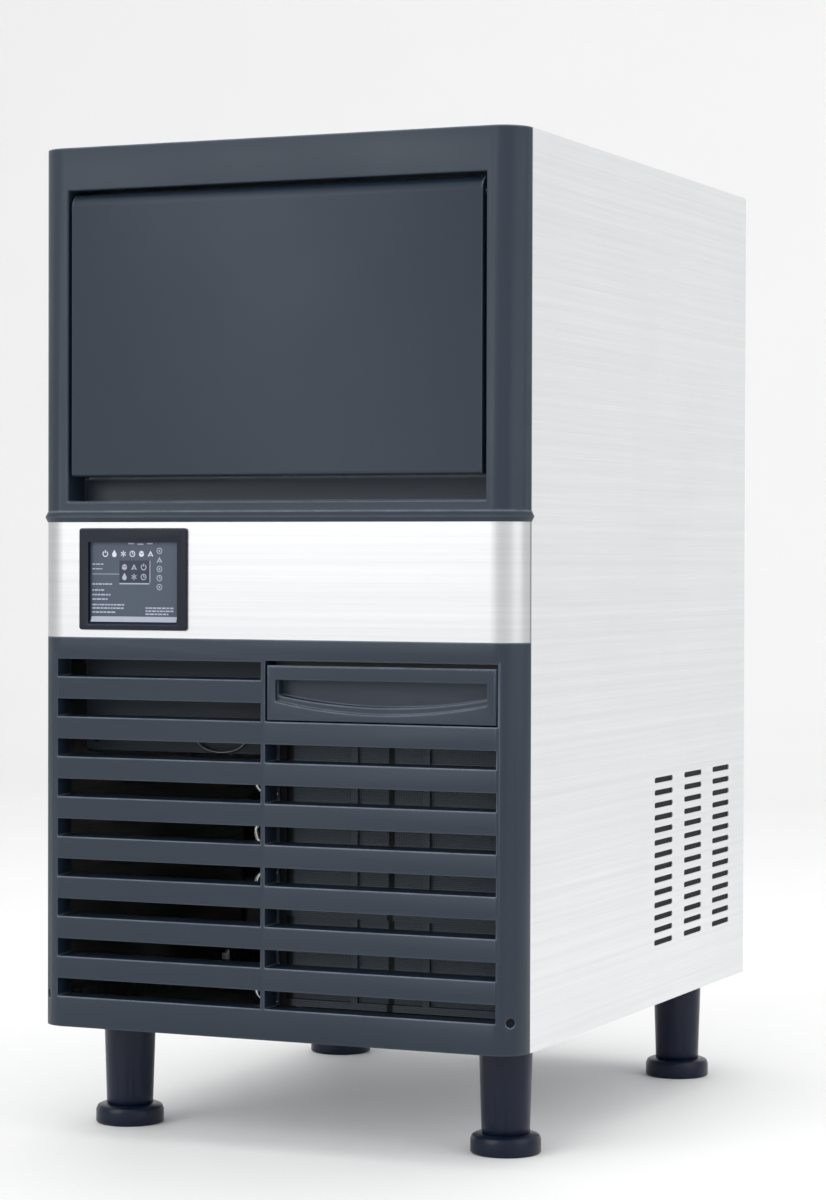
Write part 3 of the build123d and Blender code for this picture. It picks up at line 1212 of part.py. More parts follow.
# Water curtain: a light ribbed sheet that hangs on two stub pins and swings as the ice falls
curtain_x = cheek_x - CURTAIN_GAP
curtain_pin_x = cheek_x + CHEEK_T + 1
curtain_y0 = curtain_y - CURTAIN_T / 2
with BuildPart() as water_curtain:
    block(-curtain_x, curtain_x, curtain_y0, curtain_y0 + CURTAIN_T, grid_z - CURTAIN_T, curtain_z)
    rod(-curtain_x, curtain_y, curtain_z, CURTAIN_PIN_R + CURTAIN_GAP, 2 * curtain_x, Axis.X)
    rod(-curtain_pin_x, curtain_y, curtain_z, CURTAIN_PIN_R, 2 * curtain_pin_x, Axis.X)
    for rib_x in (-curtain_x / 2, 0, curtain_x / 2):
        block(rib_x - CURTAIN_RIB / 2, rib_x + CURTAIN_RIB / 2, curtain_y0 - CURTAIN_RIB, curtain_y,
              grid_z + CHEEK_T, curtain_z - CHEEK_T)
save(water_curtain, "water_curtain")

# Water trough: the sump under the grid, fixed to the rear wall of the bin
trough_z1 = grid_z - TROUGH_GAP
trough_floor = trough_z1 - TROUGH_H + TROUGH_WALL
trough_y0 = grid_y - TROUGH_AHEAD
with BuildPart() as water_trough:
    block(-trough_x, trough_x, trough_y0, bin_rear, trough_z1 - TROUGH_H, trough_z1)
    fillet(water_trough.edges().filter_by(Axis.Z).group_by(Axis.Y)[0], 4 * TROUGH_WALL)
    block(-trough_x + TROUGH_WALL, trough_x - TROUGH_WALL, trough_y0 + TROUGH_WALL, bin_rear - WALL,
          trough_floor, trough_z1 + 1, Mode.SUBTRACT)
save(water_trough, "water_trough")

# Circulation pump: a sealed motor over its volute, standing in the trough
pump_x = trough_x - TROUGH_WALL - VOLUTE_R - FIT_GAP
pump_y = bin_rear - PUMP_REAR
with BuildPart() as pump:
    rod(pump_x, pump_y, trough_floor, VOLUTE_R, VOLUTE_H)
    rod(pump_x, pump_y, trough_floor + VOLUTE_H, PUMP_NECK_R, PUMP_NECK_H)
    rod(pump_x, pump_y, trough_floor + VOLUTE_H + PUMP_NECK_H, PUMP_R, PUMP_H)
    chamfer(pump.edges().group_by(Axis.Z)[-1], PUMP_CROWN)
save(pump, "pump")

with BuildPart() as pump_hose:
    hose_x = pump_x - VOLUTE_R
    hose_z = trough_floor + VOLUTE_H / 2
    pipe((
        (hose_x, pump_y, hose_z), (hose_x - CHEEK_EAR, pump_y, hose_z),
        (hose_x - CHEEK_EAR, pump_y, distributor_z), (hose_x - CHEEK_EAR, distributor_y, distributor_z),
    ), DUCT_SHALLOW, PUMP_HOSE_R)
    rod(-cheek_x, distributor_y, distributor_z, DISTRIBUTOR_R, grid_w, Axis.X, Mode.SUBTRACT)
save(pump_hose, "pump_hose")

# Float switch: a stem on the trough floor and a float that rides up it with the water
float_x = -trough_x + FLOAT_R + 2 * TROUGH_WALL
float_y = trough_y0 + FLOAT_AHEAD
float_z = trough_floor + FLOAT_REST + FIT_GAP
stop_z = trough_floor + FLOAT_REST + FLOAT_H + FLOAT_RISE + FLOAT_STOP
with BuildPart() as float_stem:
    rod(float_x, float_y, trough_floor, FLOAT_STEM_R + FLOAT_STOP, FLOAT_REST)
    rod(float_x, float_y, trough_floor, FLOAT_STEM_R, stop_z + 2 * FLOAT_STOP - trough_floor)
    rod(float_x, float_y, stop_z, FLOAT_STEM_R + FLOAT_STOP, FLOAT_STOP)
save(float_stem, "float_stem")

with BuildPart() as float_ring:
    rod(float_x, float_y, float_z, FLOAT_R, FLOAT_H)
    chamfer(float_ring.edges(), FLOAT_R / 4)
    rod(float_x, float_y, float_z - 1, FLOAT_STEM_R + FIT_GAP, FLOAT_H + 2, mode=Mode.SUBTRACT)
save(float_ring, "float_ring")

# Water inlet valve: a collar and a plain spigot outside the rear panel, body and coil inside
inlet_z = base + INLET_Z
inlet_y1 = back + COLLAR_T + INLET_L
valve_y0 = back - VALVE_W - 2 * COLLAR_T
valve_mid = valve_y0 + VALVE_W / 2
valve_z0 = inlet_z - INLET_R
valve_z1 = valve_z0 + VALVE_H
with BuildPart() as water_inlet_valve:
    rod(inlet_x, inlet_y1, inlet_z, INLET_R, valve_mid - inlet_y1, Axis.Y)
    chamfer(water_inlet_valve.edges().group_by(Axis.Y)[-1], 1)
    rod(inlet_x, back, inlet_z, INLET_R + COLLAR_OUT, COLLAR_T, Axis.Y)
    rod(inlet_x, back - SHEET, inlet_z, INLET_R + COLLAR_OUT, -COLLAR_T, Axis.Y)
    block(inlet_x - VALVE_W / 2, inlet_x + VALVE_W / 2, valve_y0, valve_y0 + VALVE_W, valve_z0, valve_z1)
    rod(inlet_x, valve_mid, valve_z0 + 1, COIL_R, -COIL_L - 1)
    rod(inlet_x, inlet_y1, inlet_z, INLET_BORE_R, back - inlet_y1, Axis.Y, Mode.SUBTRACT)
save(water_inlet_valve, "water_inlet_valve")

with BuildPart() as supply_hose:
    spout_y = bin_rear - CHEEK_EAR
    pipe((
        (inlet_x, valve_mid, valve_z1), (inlet_x, valve_mid, supply_z),
        (inlet_x, spout_y, supply_z), (inlet_x, spout_y, supply_z - 2 * PIPE_BEND),
    ), PIPE_BEND, HOSE_R)
save(supply_hose, "supply_hose")

# Power inlet gland: a cable bush with a clamp nut, its bore open
gland_z = base + GLAND_Z
with BuildPart() as power_gland:
    rod(gland_x, back - DUCT_SHALLOW, gland_z, GLAND_R, DUCT_SHALLOW, Axis.Y)
    rod(gland_x, back, gland_z, GLAND_R + COLLAR_OUT, GLAND_R / 2, Axis.Y)
    rod(gland_x, back + GLAND_R / 2, gland_z, GLAND_R + 1, 1.5 * GLAND_R, Axis.Y)
    chamfer(power_gland.edges().group_by(Axis.Y)[-1], GLAND_R / 3)
    rod(gland_x, back - SHEET, gland_z, GLAND_R + COLLAR_T, -COLLAR_OUT, Axis.Y)
    rod(gland_x, back - 2 * DUCT_SHALLOW, gland_z, GLAND_BORE_R, 4 * DUCT_SHALLOW, Axis.Y, Mode.SUBTRACT)
save(power_gland, "power_gland")

# Panel screws: pan heads around the rear panel, and one recessed in each front corner
screw_span_x = BODY_W - 2 * PANEL_SCREW_EDGE
screw_span_z = (side_h - 2 * PANEL_SCREW_END) / (PANEL_SCREW_ROWS - 1)
with BuildPart() as panel_screws:
    with Locations(Plane(origin=(0, back, base + side_h / 2), x_dir=(1, 0, 0), z_dir=(0, 1, 0))):
        with GridLocations(screw_span_x, screw_span_z, 2, PANEL_SCREW_ROWS):
            Cylinder(PANEL_SCREW_R, PANEL_SCREW_H, align=stand)
    for side in (-1, 1):
        with Locations(screw_spot(side, WALL)):
            Cylinder(SCREW_HEAD_R - FIT_GAP, SCREW_HEAD_H, align=stand)
save(panel_screws, "panel_screws")

# Legs: tapered tubes bolted under the base pan
leg_top = base + SHEET
with BuildPart() as legs:
    for leg_at in leg_spots.values():
        with BuildSketch(Plane.XY.offset(FOOT_H + FIT_GAP)):
            with Locations(leg_at):
                Circle(LEG_LOW_R)
        with BuildSketch(Plane.XY.offset(leg_top)):
            with Locations(leg_at):
                Circle(LEG_TOP_R)
        loft()
        rod(*leg_at, leg_top, STEM_R + SHEET, LEG_BOSS_H)
        rod(*leg_at, FOOT_H - 1, STEM_R + RUN_GAP, STEM_L + WALL, mode=Mode.SUBTRACT)
save(legs, "legs")

# Adjustable feet: a rounded disc with a stem that screws into the leg
rim_x = FOOT_R - FOOT_EDGE
shoulder_z = FOOT_H - FOOT_SHOULDER
for spot, (foot_at_x, foot_at_y) in leg_spots.items():
    with BuildPart() as foot:
        with BuildSketch(Plane(origin=(foot_at_x, foot_at_y, 0), x_dir=(1, 0, 0), z_dir=(0, -1, 0))):
            with BuildLine():
                Polyline(
                    (0, 0), (rim_x, 0), (FOOT_R, FOOT_EDGE), (FOOT_R, shoulder_z),
                    (rim_x, FOOT_H - FOOT_EDGE), (FOOT_R - FOOT_SHOULDER, FOOT_H), (STEM_R, FOOT_H),
                    (STEM_R, FOOT_H + STEM_L), (0, FOOT_H + STEM_L), close=True,
                )
            make_face()
        revolve(axis=Axis((foot_at_x, foot_at_y, 0), (0, 0, 1)))
    save(foot, f"foot_{spot}")
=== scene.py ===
import json
import math
import random

import bmesh
import bpy
from mathutils import Matrix, Vector


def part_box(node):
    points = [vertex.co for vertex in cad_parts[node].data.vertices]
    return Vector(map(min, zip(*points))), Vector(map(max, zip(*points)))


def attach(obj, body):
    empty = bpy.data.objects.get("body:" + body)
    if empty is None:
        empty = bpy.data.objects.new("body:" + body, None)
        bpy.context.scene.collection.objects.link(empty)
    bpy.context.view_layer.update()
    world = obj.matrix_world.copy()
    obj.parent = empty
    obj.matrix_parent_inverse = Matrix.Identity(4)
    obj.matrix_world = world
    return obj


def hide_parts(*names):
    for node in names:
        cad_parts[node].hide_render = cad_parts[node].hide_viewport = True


# Ice machine: finishes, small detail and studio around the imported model. Metres, +Z up, the door faces -Y.

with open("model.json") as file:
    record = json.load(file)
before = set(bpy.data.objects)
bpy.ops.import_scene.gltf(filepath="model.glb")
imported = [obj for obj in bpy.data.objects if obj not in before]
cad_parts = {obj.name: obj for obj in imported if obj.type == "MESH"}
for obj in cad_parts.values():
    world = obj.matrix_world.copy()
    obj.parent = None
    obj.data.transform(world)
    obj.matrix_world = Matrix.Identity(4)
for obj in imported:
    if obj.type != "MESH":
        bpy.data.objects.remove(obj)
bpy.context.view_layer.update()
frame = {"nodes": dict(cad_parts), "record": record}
nodes = frame["nodes"]
MM = 0.001

# Places read from the frame
side_low, side_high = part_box("side_panel_right")
bezel_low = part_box("control_bezel")[0]
overlay_low, overlay_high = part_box("control_overlay")
display_low, display_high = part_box("display_window")
filter_low, filter_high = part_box("dust_filter")
coil_low, coil_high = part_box("condenser_tubes")
fins_low, fins_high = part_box("condenser_fins")
box_low, box_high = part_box("electrical_box")
drain_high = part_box("drain_pipe")[1]
valve_low, valve_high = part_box("water_inlet_valve")
gland_low, gland_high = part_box("power_gland")
screws_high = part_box("panel_screws")[1]
half_w = side_high.x
base_z = side_low.z
band_end_y = side_low.y
front_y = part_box("front_grille")[0].y
rear_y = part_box("rear_panel")[1].y
FOOT_H = 17 * MM
SHEET = 1.2 * MM


# Colour

def srgb(r, g, b):
    """A screen colour, 0 to 255, as the linear colour that shaders take."""
    def linear(v):
        v /= 255
        return v / 12.92 if v <= 0.04045 else ((v + 0.055) / 1.055) ** 2.4
    return (linear(r), linear(g), linear(b), 1.0)


def shade(colour, by):
    """A colour made lighter or darker."""
    return tuple(by * part for part in colour[:3]) + (1.0,)


# Node helpers

def add_node(tree, kind, **settings):
    """A node with its properties set."""
    node = tree.nodes.new(kind)
    for key, value in settings.items():
        setattr(node, key, value)
    return node


def feed(tree, socket, value):
    """A plain value or a link into a socket."""
    if isinstance(value, (int, float, tuple)):
        socket.default_value = value
    else:
        tree.links.new(value, socket)


def maths(tree, operation, first, second=0.0, clamp=False):
    """A math node fed by sockets or plain numbers; returns its output."""
    node = add_node(tree, "ShaderNodeMath", operation=operation, use_clamp=clamp)
    feed(tree, node.inputs[0], first)
    feed(tree, node.inputs[1], second)
    return node.outputs[0]


def mix_colour(tree, factor, first, second, blend="MIX"):
    """A colour mix fed by sockets or plain colours; returns its output."""
    node = add_node(tree, "ShaderNodeMix", data_type="RGBA", blend_type=blend)
    for socket, value in zip((node.inputs[0], node.inputs[6], node.inputs[7]), (factor, first, second)):
        feed(tree, socket, value)
    return node.outputs[2]


def ramp(tree, value, low, high, low_out=0.0, high_out=1.0):
    """A value moved from one range into another, held at its ends."""
    node = add_node(tree, "ShaderNodeMapRange")
    for key, number in zip(("From Min", "From Max", "To Min", "To Max"), (low, high, low_out, high_out)):
        feed(tree, node.inputs[key], number)
    tree.links.new(value, node.inputs["Value"])
    return node.outputs["Result"]


def noise(tree, vector, scale, detail=3.0, roughness=0.5):
    """Noise over a vector; returns the factor."""
    node = add_node(tree, "ShaderNodeTexNoise")
    feed(tree, node.inputs["Scale"], scale)
    feed(tree, node.inputs["Detail"], detail)
    feed(tree, node.inputs["Roughness"], roughness)
    tree.links.new(vector, node.inputs["Vector"])
    return node.outputs["Fac"]


def cells(tree, vector, scale, feature="F1", output="Distance"):
    """Voronoi cells over a vector."""
    node = add_node(tree, "ShaderNodeTexVoronoi", feature=feature)
    feed(tree, node.inputs["Scale"], scale)
    tree.links.new(vector, node.inputs["Vector"])
    return node.outputs[output]


def stretch(tree, vector, scale):
    """A vector with each axis scaled by its own number."""
    node = add_node(tree, "ShaderNodeMapping")
    node.inputs["Scale"].default_value = scale
    tree.links.new(vector, node.inputs["Vector"])
    return node.outputs["Vector"]


def axis_value(tree, vector, axis):
    """One coordinate of a vector."""
    node = add_node(tree, "ShaderNodeSeparateXYZ")
    tree.links.new(vector, node.inputs["Vector"])
    return node.outputs[axis]


def stripes(tree, value, pitch, width):
    """A mask of stripes, one each pitch, of a width between 0 and 1 of the pitch."""
    wave = maths(tree, "FRACT", maths(tree, "DIVIDE", value, pitch))
    away = maths(tree, "ABSOLUTE", maths(tree, "SUBTRACT", wave, 0.5))
    return ramp(tree, away, width / 2 + 0.06, width / 2 - 0.06)


# Shader node groups: effects that several finishes share

def new_group(name, inputs, outputs):
    """An empty shader node group with named sockets, and its two end nodes."""
    group = bpy.data.node_groups.new(name, "ShaderNodeTree")
    for label, kind, value in inputs:
        socket = group.interface.new_socket(label, in_out="INPUT", socket_type=kind)
        socket.default_value = value
    for label, kind in outputs:
        group.interface.new_socket(label, in_out="OUTPUT", socket_type=kind)
    return group, group.nodes.new("NodeGroupInput"), group.nodes.new("NodeGroupOutput")


def build_grain_group():
    """Fine moulded grain: a height for bump, and a patch value for sheen and colour."""
    group, start, end = new_group(
        "Moulded grain",
        [("Vector", "NodeSocketVector", (0, 0, 0)), ("Size", "NodeSocketFloat", 900.0)],
        [("Height", "NodeSocketFloat"), ("Patch", "NodeSocketFloat")],
    )
    vector, size = start.outputs["Vector"], start.outputs["Size"]
    pebbles = cells(group, vector, size, "SMOOTH_F1")
    fine = maths(group, "MULTIPLY", noise(group, vector, 2400.0, 2.0), 0.4)
    group.links.new(maths(group, "ADD", pebbles, fine), end.inputs["Height"])
    group.links.new(noise(group, vector, 9.0, 4.0), end.inputs["Patch"])
    return group


def build_brush_group():
    """Brushed metal: long scratches along one axis, as a height and a streak mask."""
    group, start, end = new_group(
        "Brushed lines",
        [("Vector", "NodeSocketVector", (0, 0, 0))],
        [("Height", "NodeSocketFloat"), ("Streak", "NodeSocketFloat")],
    )
    vector = start.outputs["Vector"]
    fine = noise(group, vector, 1.0, 6.0, 0.7)
    broad = noise(group, stretch(group, vector, (0.12, 0.12, 0.12)), 1.0, 3.0)
    streak = maths(group, "ADD", maths(group, "MULTIPLY", fine, 0.6), maths(group, "MULTIPLY", broad, 0.4))
    group.links.new(fine, end.inputs["Height"])
    group.links.new(streak, end.inputs["Streak"])
    return group


def build_edge_highlight_group():
    """Painted edge highlight: a mask along sharp edges that look up, paler where light from above catches
    them.
    """
    group, start, end = new_group(
        "Painted edge highlight",
        [("Vector", "NodeSocketVector", (0, 0, 0)), ("Radius", "NodeSocketFloat", 0.001),
         ("Amount", "NodeSocketFloat", 0.5)],
        [("Mask", "NodeSocketFloat")],
    )
    rounded = add_node(group, "ShaderNodeBevel", samples=4)
    group.links.new(start.outputs["Radius"], rounded.inputs["Radius"])
    geometry = add_node(group, "ShaderNodeNewGeometry")
    facing = add_node(group, "ShaderNodeVectorMath", operation="DOT_PRODUCT")
    group.links.new(rounded.outputs["Normal"], facing.inputs[0])
    group.links.new(geometry.outputs["Normal"], facing.inputs[1])
    bent = ramp(group, facing.outputs["Value"], 0.999, 0.93)
    upward = ramp(group, axis_value(group, rounded.outputs["Normal"], "Z"), 0.08, 0.4, 0.12, 1.0)
    bent = maths(group, "MULTIPLY", bent, upward)
    broken = ramp(group, noise(group, start.outputs["Vector"], 45.0, 4.0), 0.25, 0.6, 0.5, 1.0)
    mask = maths(group, "MULTIPLY", maths(group, "MULTIPLY", bent, broken), start.outputs["Amount"], True)
    group.links.new(mask, end.inputs["Mask"])
    return group


def build_dust_group():
    """Settled dust: a mask on faces that look up, thicker in soft patches."""
    group, start, end = new_group(
        "Settled dust",
        [("Vector", "NodeSocketVector", (0, 0, 0)), ("Amount", "NodeSocketFloat", 0.3)],
        [("Mask", "NodeSocketFloat")],
    )
    geometry = add_node(group, "ShaderNodeNewGeometry")
    up = ramp(group, axis_value(group, geometry.outputs["Normal"], "Z"), 0.2, 1.0)
    patch = ramp(group, noise(group, start.outputs["Vector"], 30.0, 6.0, 0.65), 0.3, 0.7, 0.35, 1.0)
    mask = maths(group, "MULTIPLY", maths(group, "MULTIPLY", up, patch), start.outputs["Amount"], True)
    group.links.new(mask, end.inputs["Mask"])
    return group


def build_smudge_group():
    """Handling: broad, faint smears that dull a bright surface."""
    group, start, end = new_group(
        "Handling smears",
        [("Vector", "NodeSocketVector", (0, 0, 0)), ("Amount", "NodeSocketFloat", 0.1)],
        [("Mask", "NodeSocketFloat")],
    )
    vector = start.outputs["Vector"]
    broad = ramp(group, noise(group, vector, 5.0, 5.0, 0.6), 0.35, 0.75)
    wiped = ramp(group, noise(group, stretch(group, vector, (30, 30, 5)), 1.0, 3.0), 0.3, 0.8, 0.6, 1.0)
    mask = maths(group, "MULTIPLY", maths(group, "MULTIPLY", broad, wiped), start.outputs["Amount"], True)
    group.links.new(mask, end.inputs["Mask"])
    return group


GRAIN = build_grain_group()
BRUSH = build_brush_group()
EDGE_HIGHLIGHT = build_edge_highlight_group()
DUST = build_dust_group()
SMEAR = build_smudge_group()


# Materials

def new_material(name):
    """A material with its shader, and the object coordinates that its textures use."""
    material = bpy.data.materials.new(name)
    material.use_nodes = True
    tree = material.node_tree
    shader = tree.nodes["Principled BSDF"]
    place = add_node(tree, "ShaderNodeTexCoord").outputs["Object"]
    return material, tree, shader, place


def place_group(tree, group, vector, **values):
    """A shared effect in this material, with its own values."""
    node = add_node(tree, "ShaderNodeGroup", node_tree=group)
    tree.links.new(vector, node.inputs["Vector"])
    for key, value in values.items():
        node.inputs[key].default_value = value
    return node.outputs


def link_bump(tree, shader, height, strength, distance):
    """Bump from a height."""
    bump = add_node(tree, "ShaderNodeBump")
    bump.inputs["Strength"].default_value = strength
    bump.inputs["Distance"].default_value = distance
    tree.links.new(height, bump.inputs["Height"])
    tree.links.new(bump.outputs["Normal"], shader.inputs["Normal"])


DUST_GREY = srgb(150, 150, 146)


def moulded(name, colour, roughness, grain_size=900.0, grain=0.25, spread=0.08, specular=0.5,
            edge=0.0, edge_highlight_colour=None, dust=0.0):
    """Moulded plastic or paint: fine grain, uneven sheen, and where it has them a painted highlight on
    upward edges and dust.
    """
    material, tree, shader, place = new_material(name)
    skin = place_group(tree, GRAIN, place, Size=grain_size)
    tint = mix_colour(tree, skin["Patch"], shade(colour, 1.06), shade(colour, 0.9))
    # Painted highlight: the edge colour along upward edges stands in for light catching them.
    if edge:
        rim = place_group(tree, EDGE_HIGHLIGHT, place, Radius=2.4 * MM, Amount=edge)
        tint = mix_colour(tree, rim["Mask"], tint, edge_highlight_colour)
    if dust:
        film = place_group(tree, DUST, place, Amount=dust)
        tint = mix_colour(tree, film["Mask"], tint, DUST_GREY)
    tree.links.new(tint, shader.inputs["Base Color"])
    tree.links.new(ramp(tree, skin["Patch"], 0.2, 0.8, roughness - spread / 2, roughness + spread / 2),
                   shader.inputs["Roughness"])
    shader.inputs["Specular IOR Level"].default_value = specular
    link_bump(tree, shader, skin["Height"], grain, 0.06 * MM)
    return material


def brushed(name, colour, roughness, scale, bump=0.08, spread=0.12, smear=0.0, end_seam_shade=False):
    """Bare metal: scratches, faint smears, and painted shade along the ends of a band, where it meets the
    side panels.
    """
    material, tree, shader, place = new_material(name)
    lines = place_group(tree, BRUSH, stretch(tree, place, scale))
    tint = mix_colour(tree, ramp(tree, lines["Streak"], 0.3, 0.7), shade(colour, 0.86), shade(colour, 1.04))
    rough = ramp(tree, lines["Streak"], 0.2, 0.8, roughness - spread / 2, roughness + spread / 2)
    if smear:
        film = place_group(tree, SMEAR, place, Amount=smear)
        tint = mix_colour(tree, film["Mask"], tint, shade(colour, 0.8))
        rough = maths(tree, "ADD", rough, maths(tree, "MULTIPLY", film["Mask"], 0.2))
    if end_seam_shade:
        # Painted shade: a dark strip at the band's ends stands in for the shadow at its seam with the side
        # panels.
        fold = ramp(tree, axis_value(tree, place, "Y"), band_end_y - 4 * MM, band_end_y - 2.5 * MM)
        tint = mix_colour(tree, fold, tint, shade(colour, 0.42))
    tree.links.new(tint, shader.inputs["Base Color"])
    tree.links.new(rough, shader.inputs["Roughness"])
    shader.inputs["Metallic"].default_value = 1.0
    link_bump(tree, shader, lines["Height"], bump, 0.03 * MM)
    return material


def galvanised(name):
    """Zinc-coated sheet: crystals of slightly different grey, with a film of dust."""
    material, tree, shader, place = new_material(name)
    crystal = cells(tree, place, 140.0, output="Color")
    grey = axis_value(tree, crystal, "X")
    tint = mix_colour(tree, grey, (0.42, 0.44, 0.46, 1), (0.62, 0.64, 0.65, 1))
    film = place_group(tree, DUST, place, Amount=0.35)
    tree.links.new(mix_colour(tree, film["Mask"], tint, DUST_GREY), shader.inputs["Base Color"])
    tree.links.new(ramp(tree, grey, 0.0, 1.0, 0.38, 0.56), shader.inputs["Roughness"])
    shader.inputs["Metallic"].default_value = 1.0
    link_bump(tree, shader, grey, 0.1, 0.02 * MM)
    return material


def copper_tube(name):
    """Drawn copper: bright, with brown tarnish in patches."""
    material, tree, shader, place = new_material(name)
    tarnish = ramp(tree, noise(tree, place, 35.0, 5.0, 0.65), 0.4, 0.7)
    tint = mix_colour(tree, tarnish, (0.82, 0.43, 0.27, 1), (0.36, 0.17, 0.10, 1))
    tree.links.new(tint, shader.inputs["Base Color"])
    tree.links.new(ramp(tree, tarnish, 0.0, 1.0, 0.24, 0.5), shader.inputs["Roughness"])
    shader.inputs["Metallic"].default_value = 1.0
    link_bump(tree, shader, noise(tree, place, 500.0, 3.0), 0.08, 0.03 * MM)
    return material


def cabinet_foam(name):
    """Poured foam: pale skin with open pores and a yellower tint in patches."""
    material, tree, shader, place = new_material(name)
    pores = cells(tree, place, 420.0)
    patch = noise(tree, place, 14.0, 4.0)
    tint = mix_colour(tree, patch, srgb(232, 222, 184), srgb(214, 196, 142))
    tree.links.new(mix_colour(tree, ramp(tree, pores, 0.25, 0.05), tint, srgb(176, 158, 108)),
                   shader.inputs["Base Color"])
    tree.links.new(ramp(tree, patch, 0.2, 0.8, 0.72, 0.9), shader.inputs["Roughness"])
    link_bump(tree, shader, pores, 0.6, 0.4 * MM)
    return material


def circuit_board(name):
    """Green board: copper tracks under the lacquer, and pale solder pads."""
    material, tree, shader, place = new_material(name)
    tracks = maths(tree, "MAXIMUM", stripes(tree, axis_value(tree, place, "X"), 5.1 * MM, 0.3),
                   stripes(tree, axis_value(tree, place, "Z"), 7.3 * MM, 0.22))
    broken = maths(tree, "MULTIPLY", tracks, ramp(tree, noise(tree, place, 60.0, 2.0), 0.45, 0.5))
    tint = mix_colour(tree, broken, srgb(20, 78, 44), srgb(52, 124, 70))
    pads = ramp(tree, cells(tree, place, 190.0), 0.16, 0.12)
    tree.links.new(mix_colour(tree, pads, tint, srgb(196, 196, 188)), shader.inputs["Base Color"])
    tree.links.new(ramp(tree, broken, 0.0, 1.0, 0.3, 0.42), shader.inputs["Roughness"])
    link_bump(tree, shader, broken, 0.3, 0.05 * MM)
    return material


def filter_screen(name):
    """Dust filter: a woven grey screen with lint along its weave, near black along its left margin as
    painted shade, and dark down a seam in its middle.
    """
    material, tree, shader, place = new_material(name)
    x, z = axis_value(tree, place, "X"), axis_value(tree, place, "Z")
    weave = maths(tree, "MAXIMUM", stripes(tree, x, 1.6 * MM, 0.45), stripes(tree, z, 1.6 * MM, 0.45))
    lint = ramp(tree, noise(tree, place, 38.0, 5.0, 0.6), 0.35, 0.7)
    open_part = mix_colour(tree, lint, srgb(40, 46, 54), srgb(62, 68, 76))
    tint = mix_colour(tree, weave, open_part, srgb(82, 89, 98))
    # Painted shade: the screen's left margin is near black, where deep shadow falls between the centre rib
    # and the screen.
    shaded_margin_x = filter_low.x + 11 * MM
    clamp = ramp(tree, x, shaded_margin_x + 1.5 * MM, shaded_margin_x - 1.5 * MM)
    middle = maths(tree, "ABSOLUTE", maths(tree, "SUBTRACT", x, (filter_low.x + filter_high.x) / 2))
    seam = ramp(tree, middle, 3.4 * MM, 2.2 * MM)
    dark = maths(tree, "MAXIMUM", clamp, seam)
    tree.links.new(mix_colour(tree, dark, tint, srgb(14, 16, 20)), shader.inputs["Base Color"])
    tree.links.new(ramp(tree, lint, 0.0, 1.0, 0.6, 0.85), shader.inputs["Roughness"])
    shader.inputs["Specular IOR Level"].default_value = 0.3
    link_bump(tree, shader, weave, 0.7, 0.3 * MM)
    return material


def leg_moulding(name):
    """Navy leg and foot: smooth moulding, with a painted highlight along its upward edges."""
    material, tree, shader, place = new_material(name)
    colour = srgb(10, 20, 40)
    skin = place_group(tree, GRAIN, place, Size=600.0)
    # Painted highlight: upward edges of the leg are lightened to twice the navy, as light catching them.
    rim = place_group(tree, EDGE_HIGHLIGHT, place, Radius=1.5 * MM, Amount=0.6)
    tint = mix_colour(tree, skin["Patch"], shade(colour, 1.15), shade(colour, 0.85))
    tree.links.new(mix_colour(tree, rim["Mask"], tint, shade(colour, 2.0)), shader.inputs["Base Color"])
    tree.links.new(ramp(tree, skin["Patch"], 0.2, 0.8, 0.26, 0.36), shader.inputs["Roughness"])
    shader.inputs["Specular IOR Level"].default_value = 0.25
    link_bump(tree, shader, skin["Height"], 0.08, 0.05 * MM)
    return material


def foot_moulding(name):
    """Foot: the navy disc, and a steel stem with a rolled thread above it."""
    material = leg_moulding(name)
    tree = material.node_tree
    shader = tree.nodes["Principled BSDF"]
    place = next(node for node in tree.nodes if node.type == "TEX_COORD").outputs["Object"]
    z = axis_value(tree, place, "Z")
    stem = ramp(tree, z, FOOT_H, FOOT_H + 0.2 * MM)
    navy = shader.inputs["Base Color"].links[0].from_socket
    tree.links.new(mix_colour(tree, stem, navy, (0.62, 0.63, 0.65, 1)), shader.inputs["Base Color"])
    tree.links.new(stem, shader.inputs["Metallic"])
    thread = maths(tree, "MULTIPLY", stem, maths(tree, "PINGPONG", z, 0.75 * MM))
    link_bump(tree, shader, maths(tree, "MULTIPLY", thread, 1000.0), 1.0, 0.8 * MM)
    return material


def seal_rubber(name):
    """Door seal: soft black rubber with fine bellows lines and a bloom of talc."""
    material, tree, shader, place = new_material(name)
    bellows = stripes(tree, axis_value(tree, place, "Y"), 2.2 * MM, 0.5)
    bloom = ramp(tree, noise(tree, place, 50.0, 5.0, 0.6), 0.4, 0.75)
    tree.links.new(mix_colour(tree, bloom, srgb(38, 40, 44), srgb(66, 68, 71)), shader.inputs["Base Color"])
    tree.links.new(ramp(tree, bloom, 0.0, 1.0, 0.5, 0.72), shader.inputs["Roughness"])
    link_bump(tree, shader, bellows, 0.5, 0.3 * MM)
    return material


def screw_steel(name):
    """Screws: bright steel towards the rear, near black towards the front as painted shade for the sunk
    corner screws.
    """
    material, tree, shader, place = new_material(name)
    turned = noise(tree, place, 700.0, 3.0)
    # Painted shade: screws forward of the middle are made near black, as the shade in their sunk holes.
    front = ramp(tree, axis_value(tree, place, "Y"), 0.0, -0.01)
    bright = mix_colour(tree, turned, (0.55, 0.56, 0.58, 1), (0.74, 0.75, 0.77, 1))
    tree.links.new(mix_colour(tree, front, bright, srgb(22, 24, 29)), shader.inputs["Base Color"])
    tree.links.new(ramp(tree, turned, 0.2, 0.8, 0.28, 0.44), shader.inputs["Roughness"])
    shader.inputs["Metallic"].default_value = 0.9
    link_bump(tree, shader, turned, 0.1, 0.02 * MM)
    return material


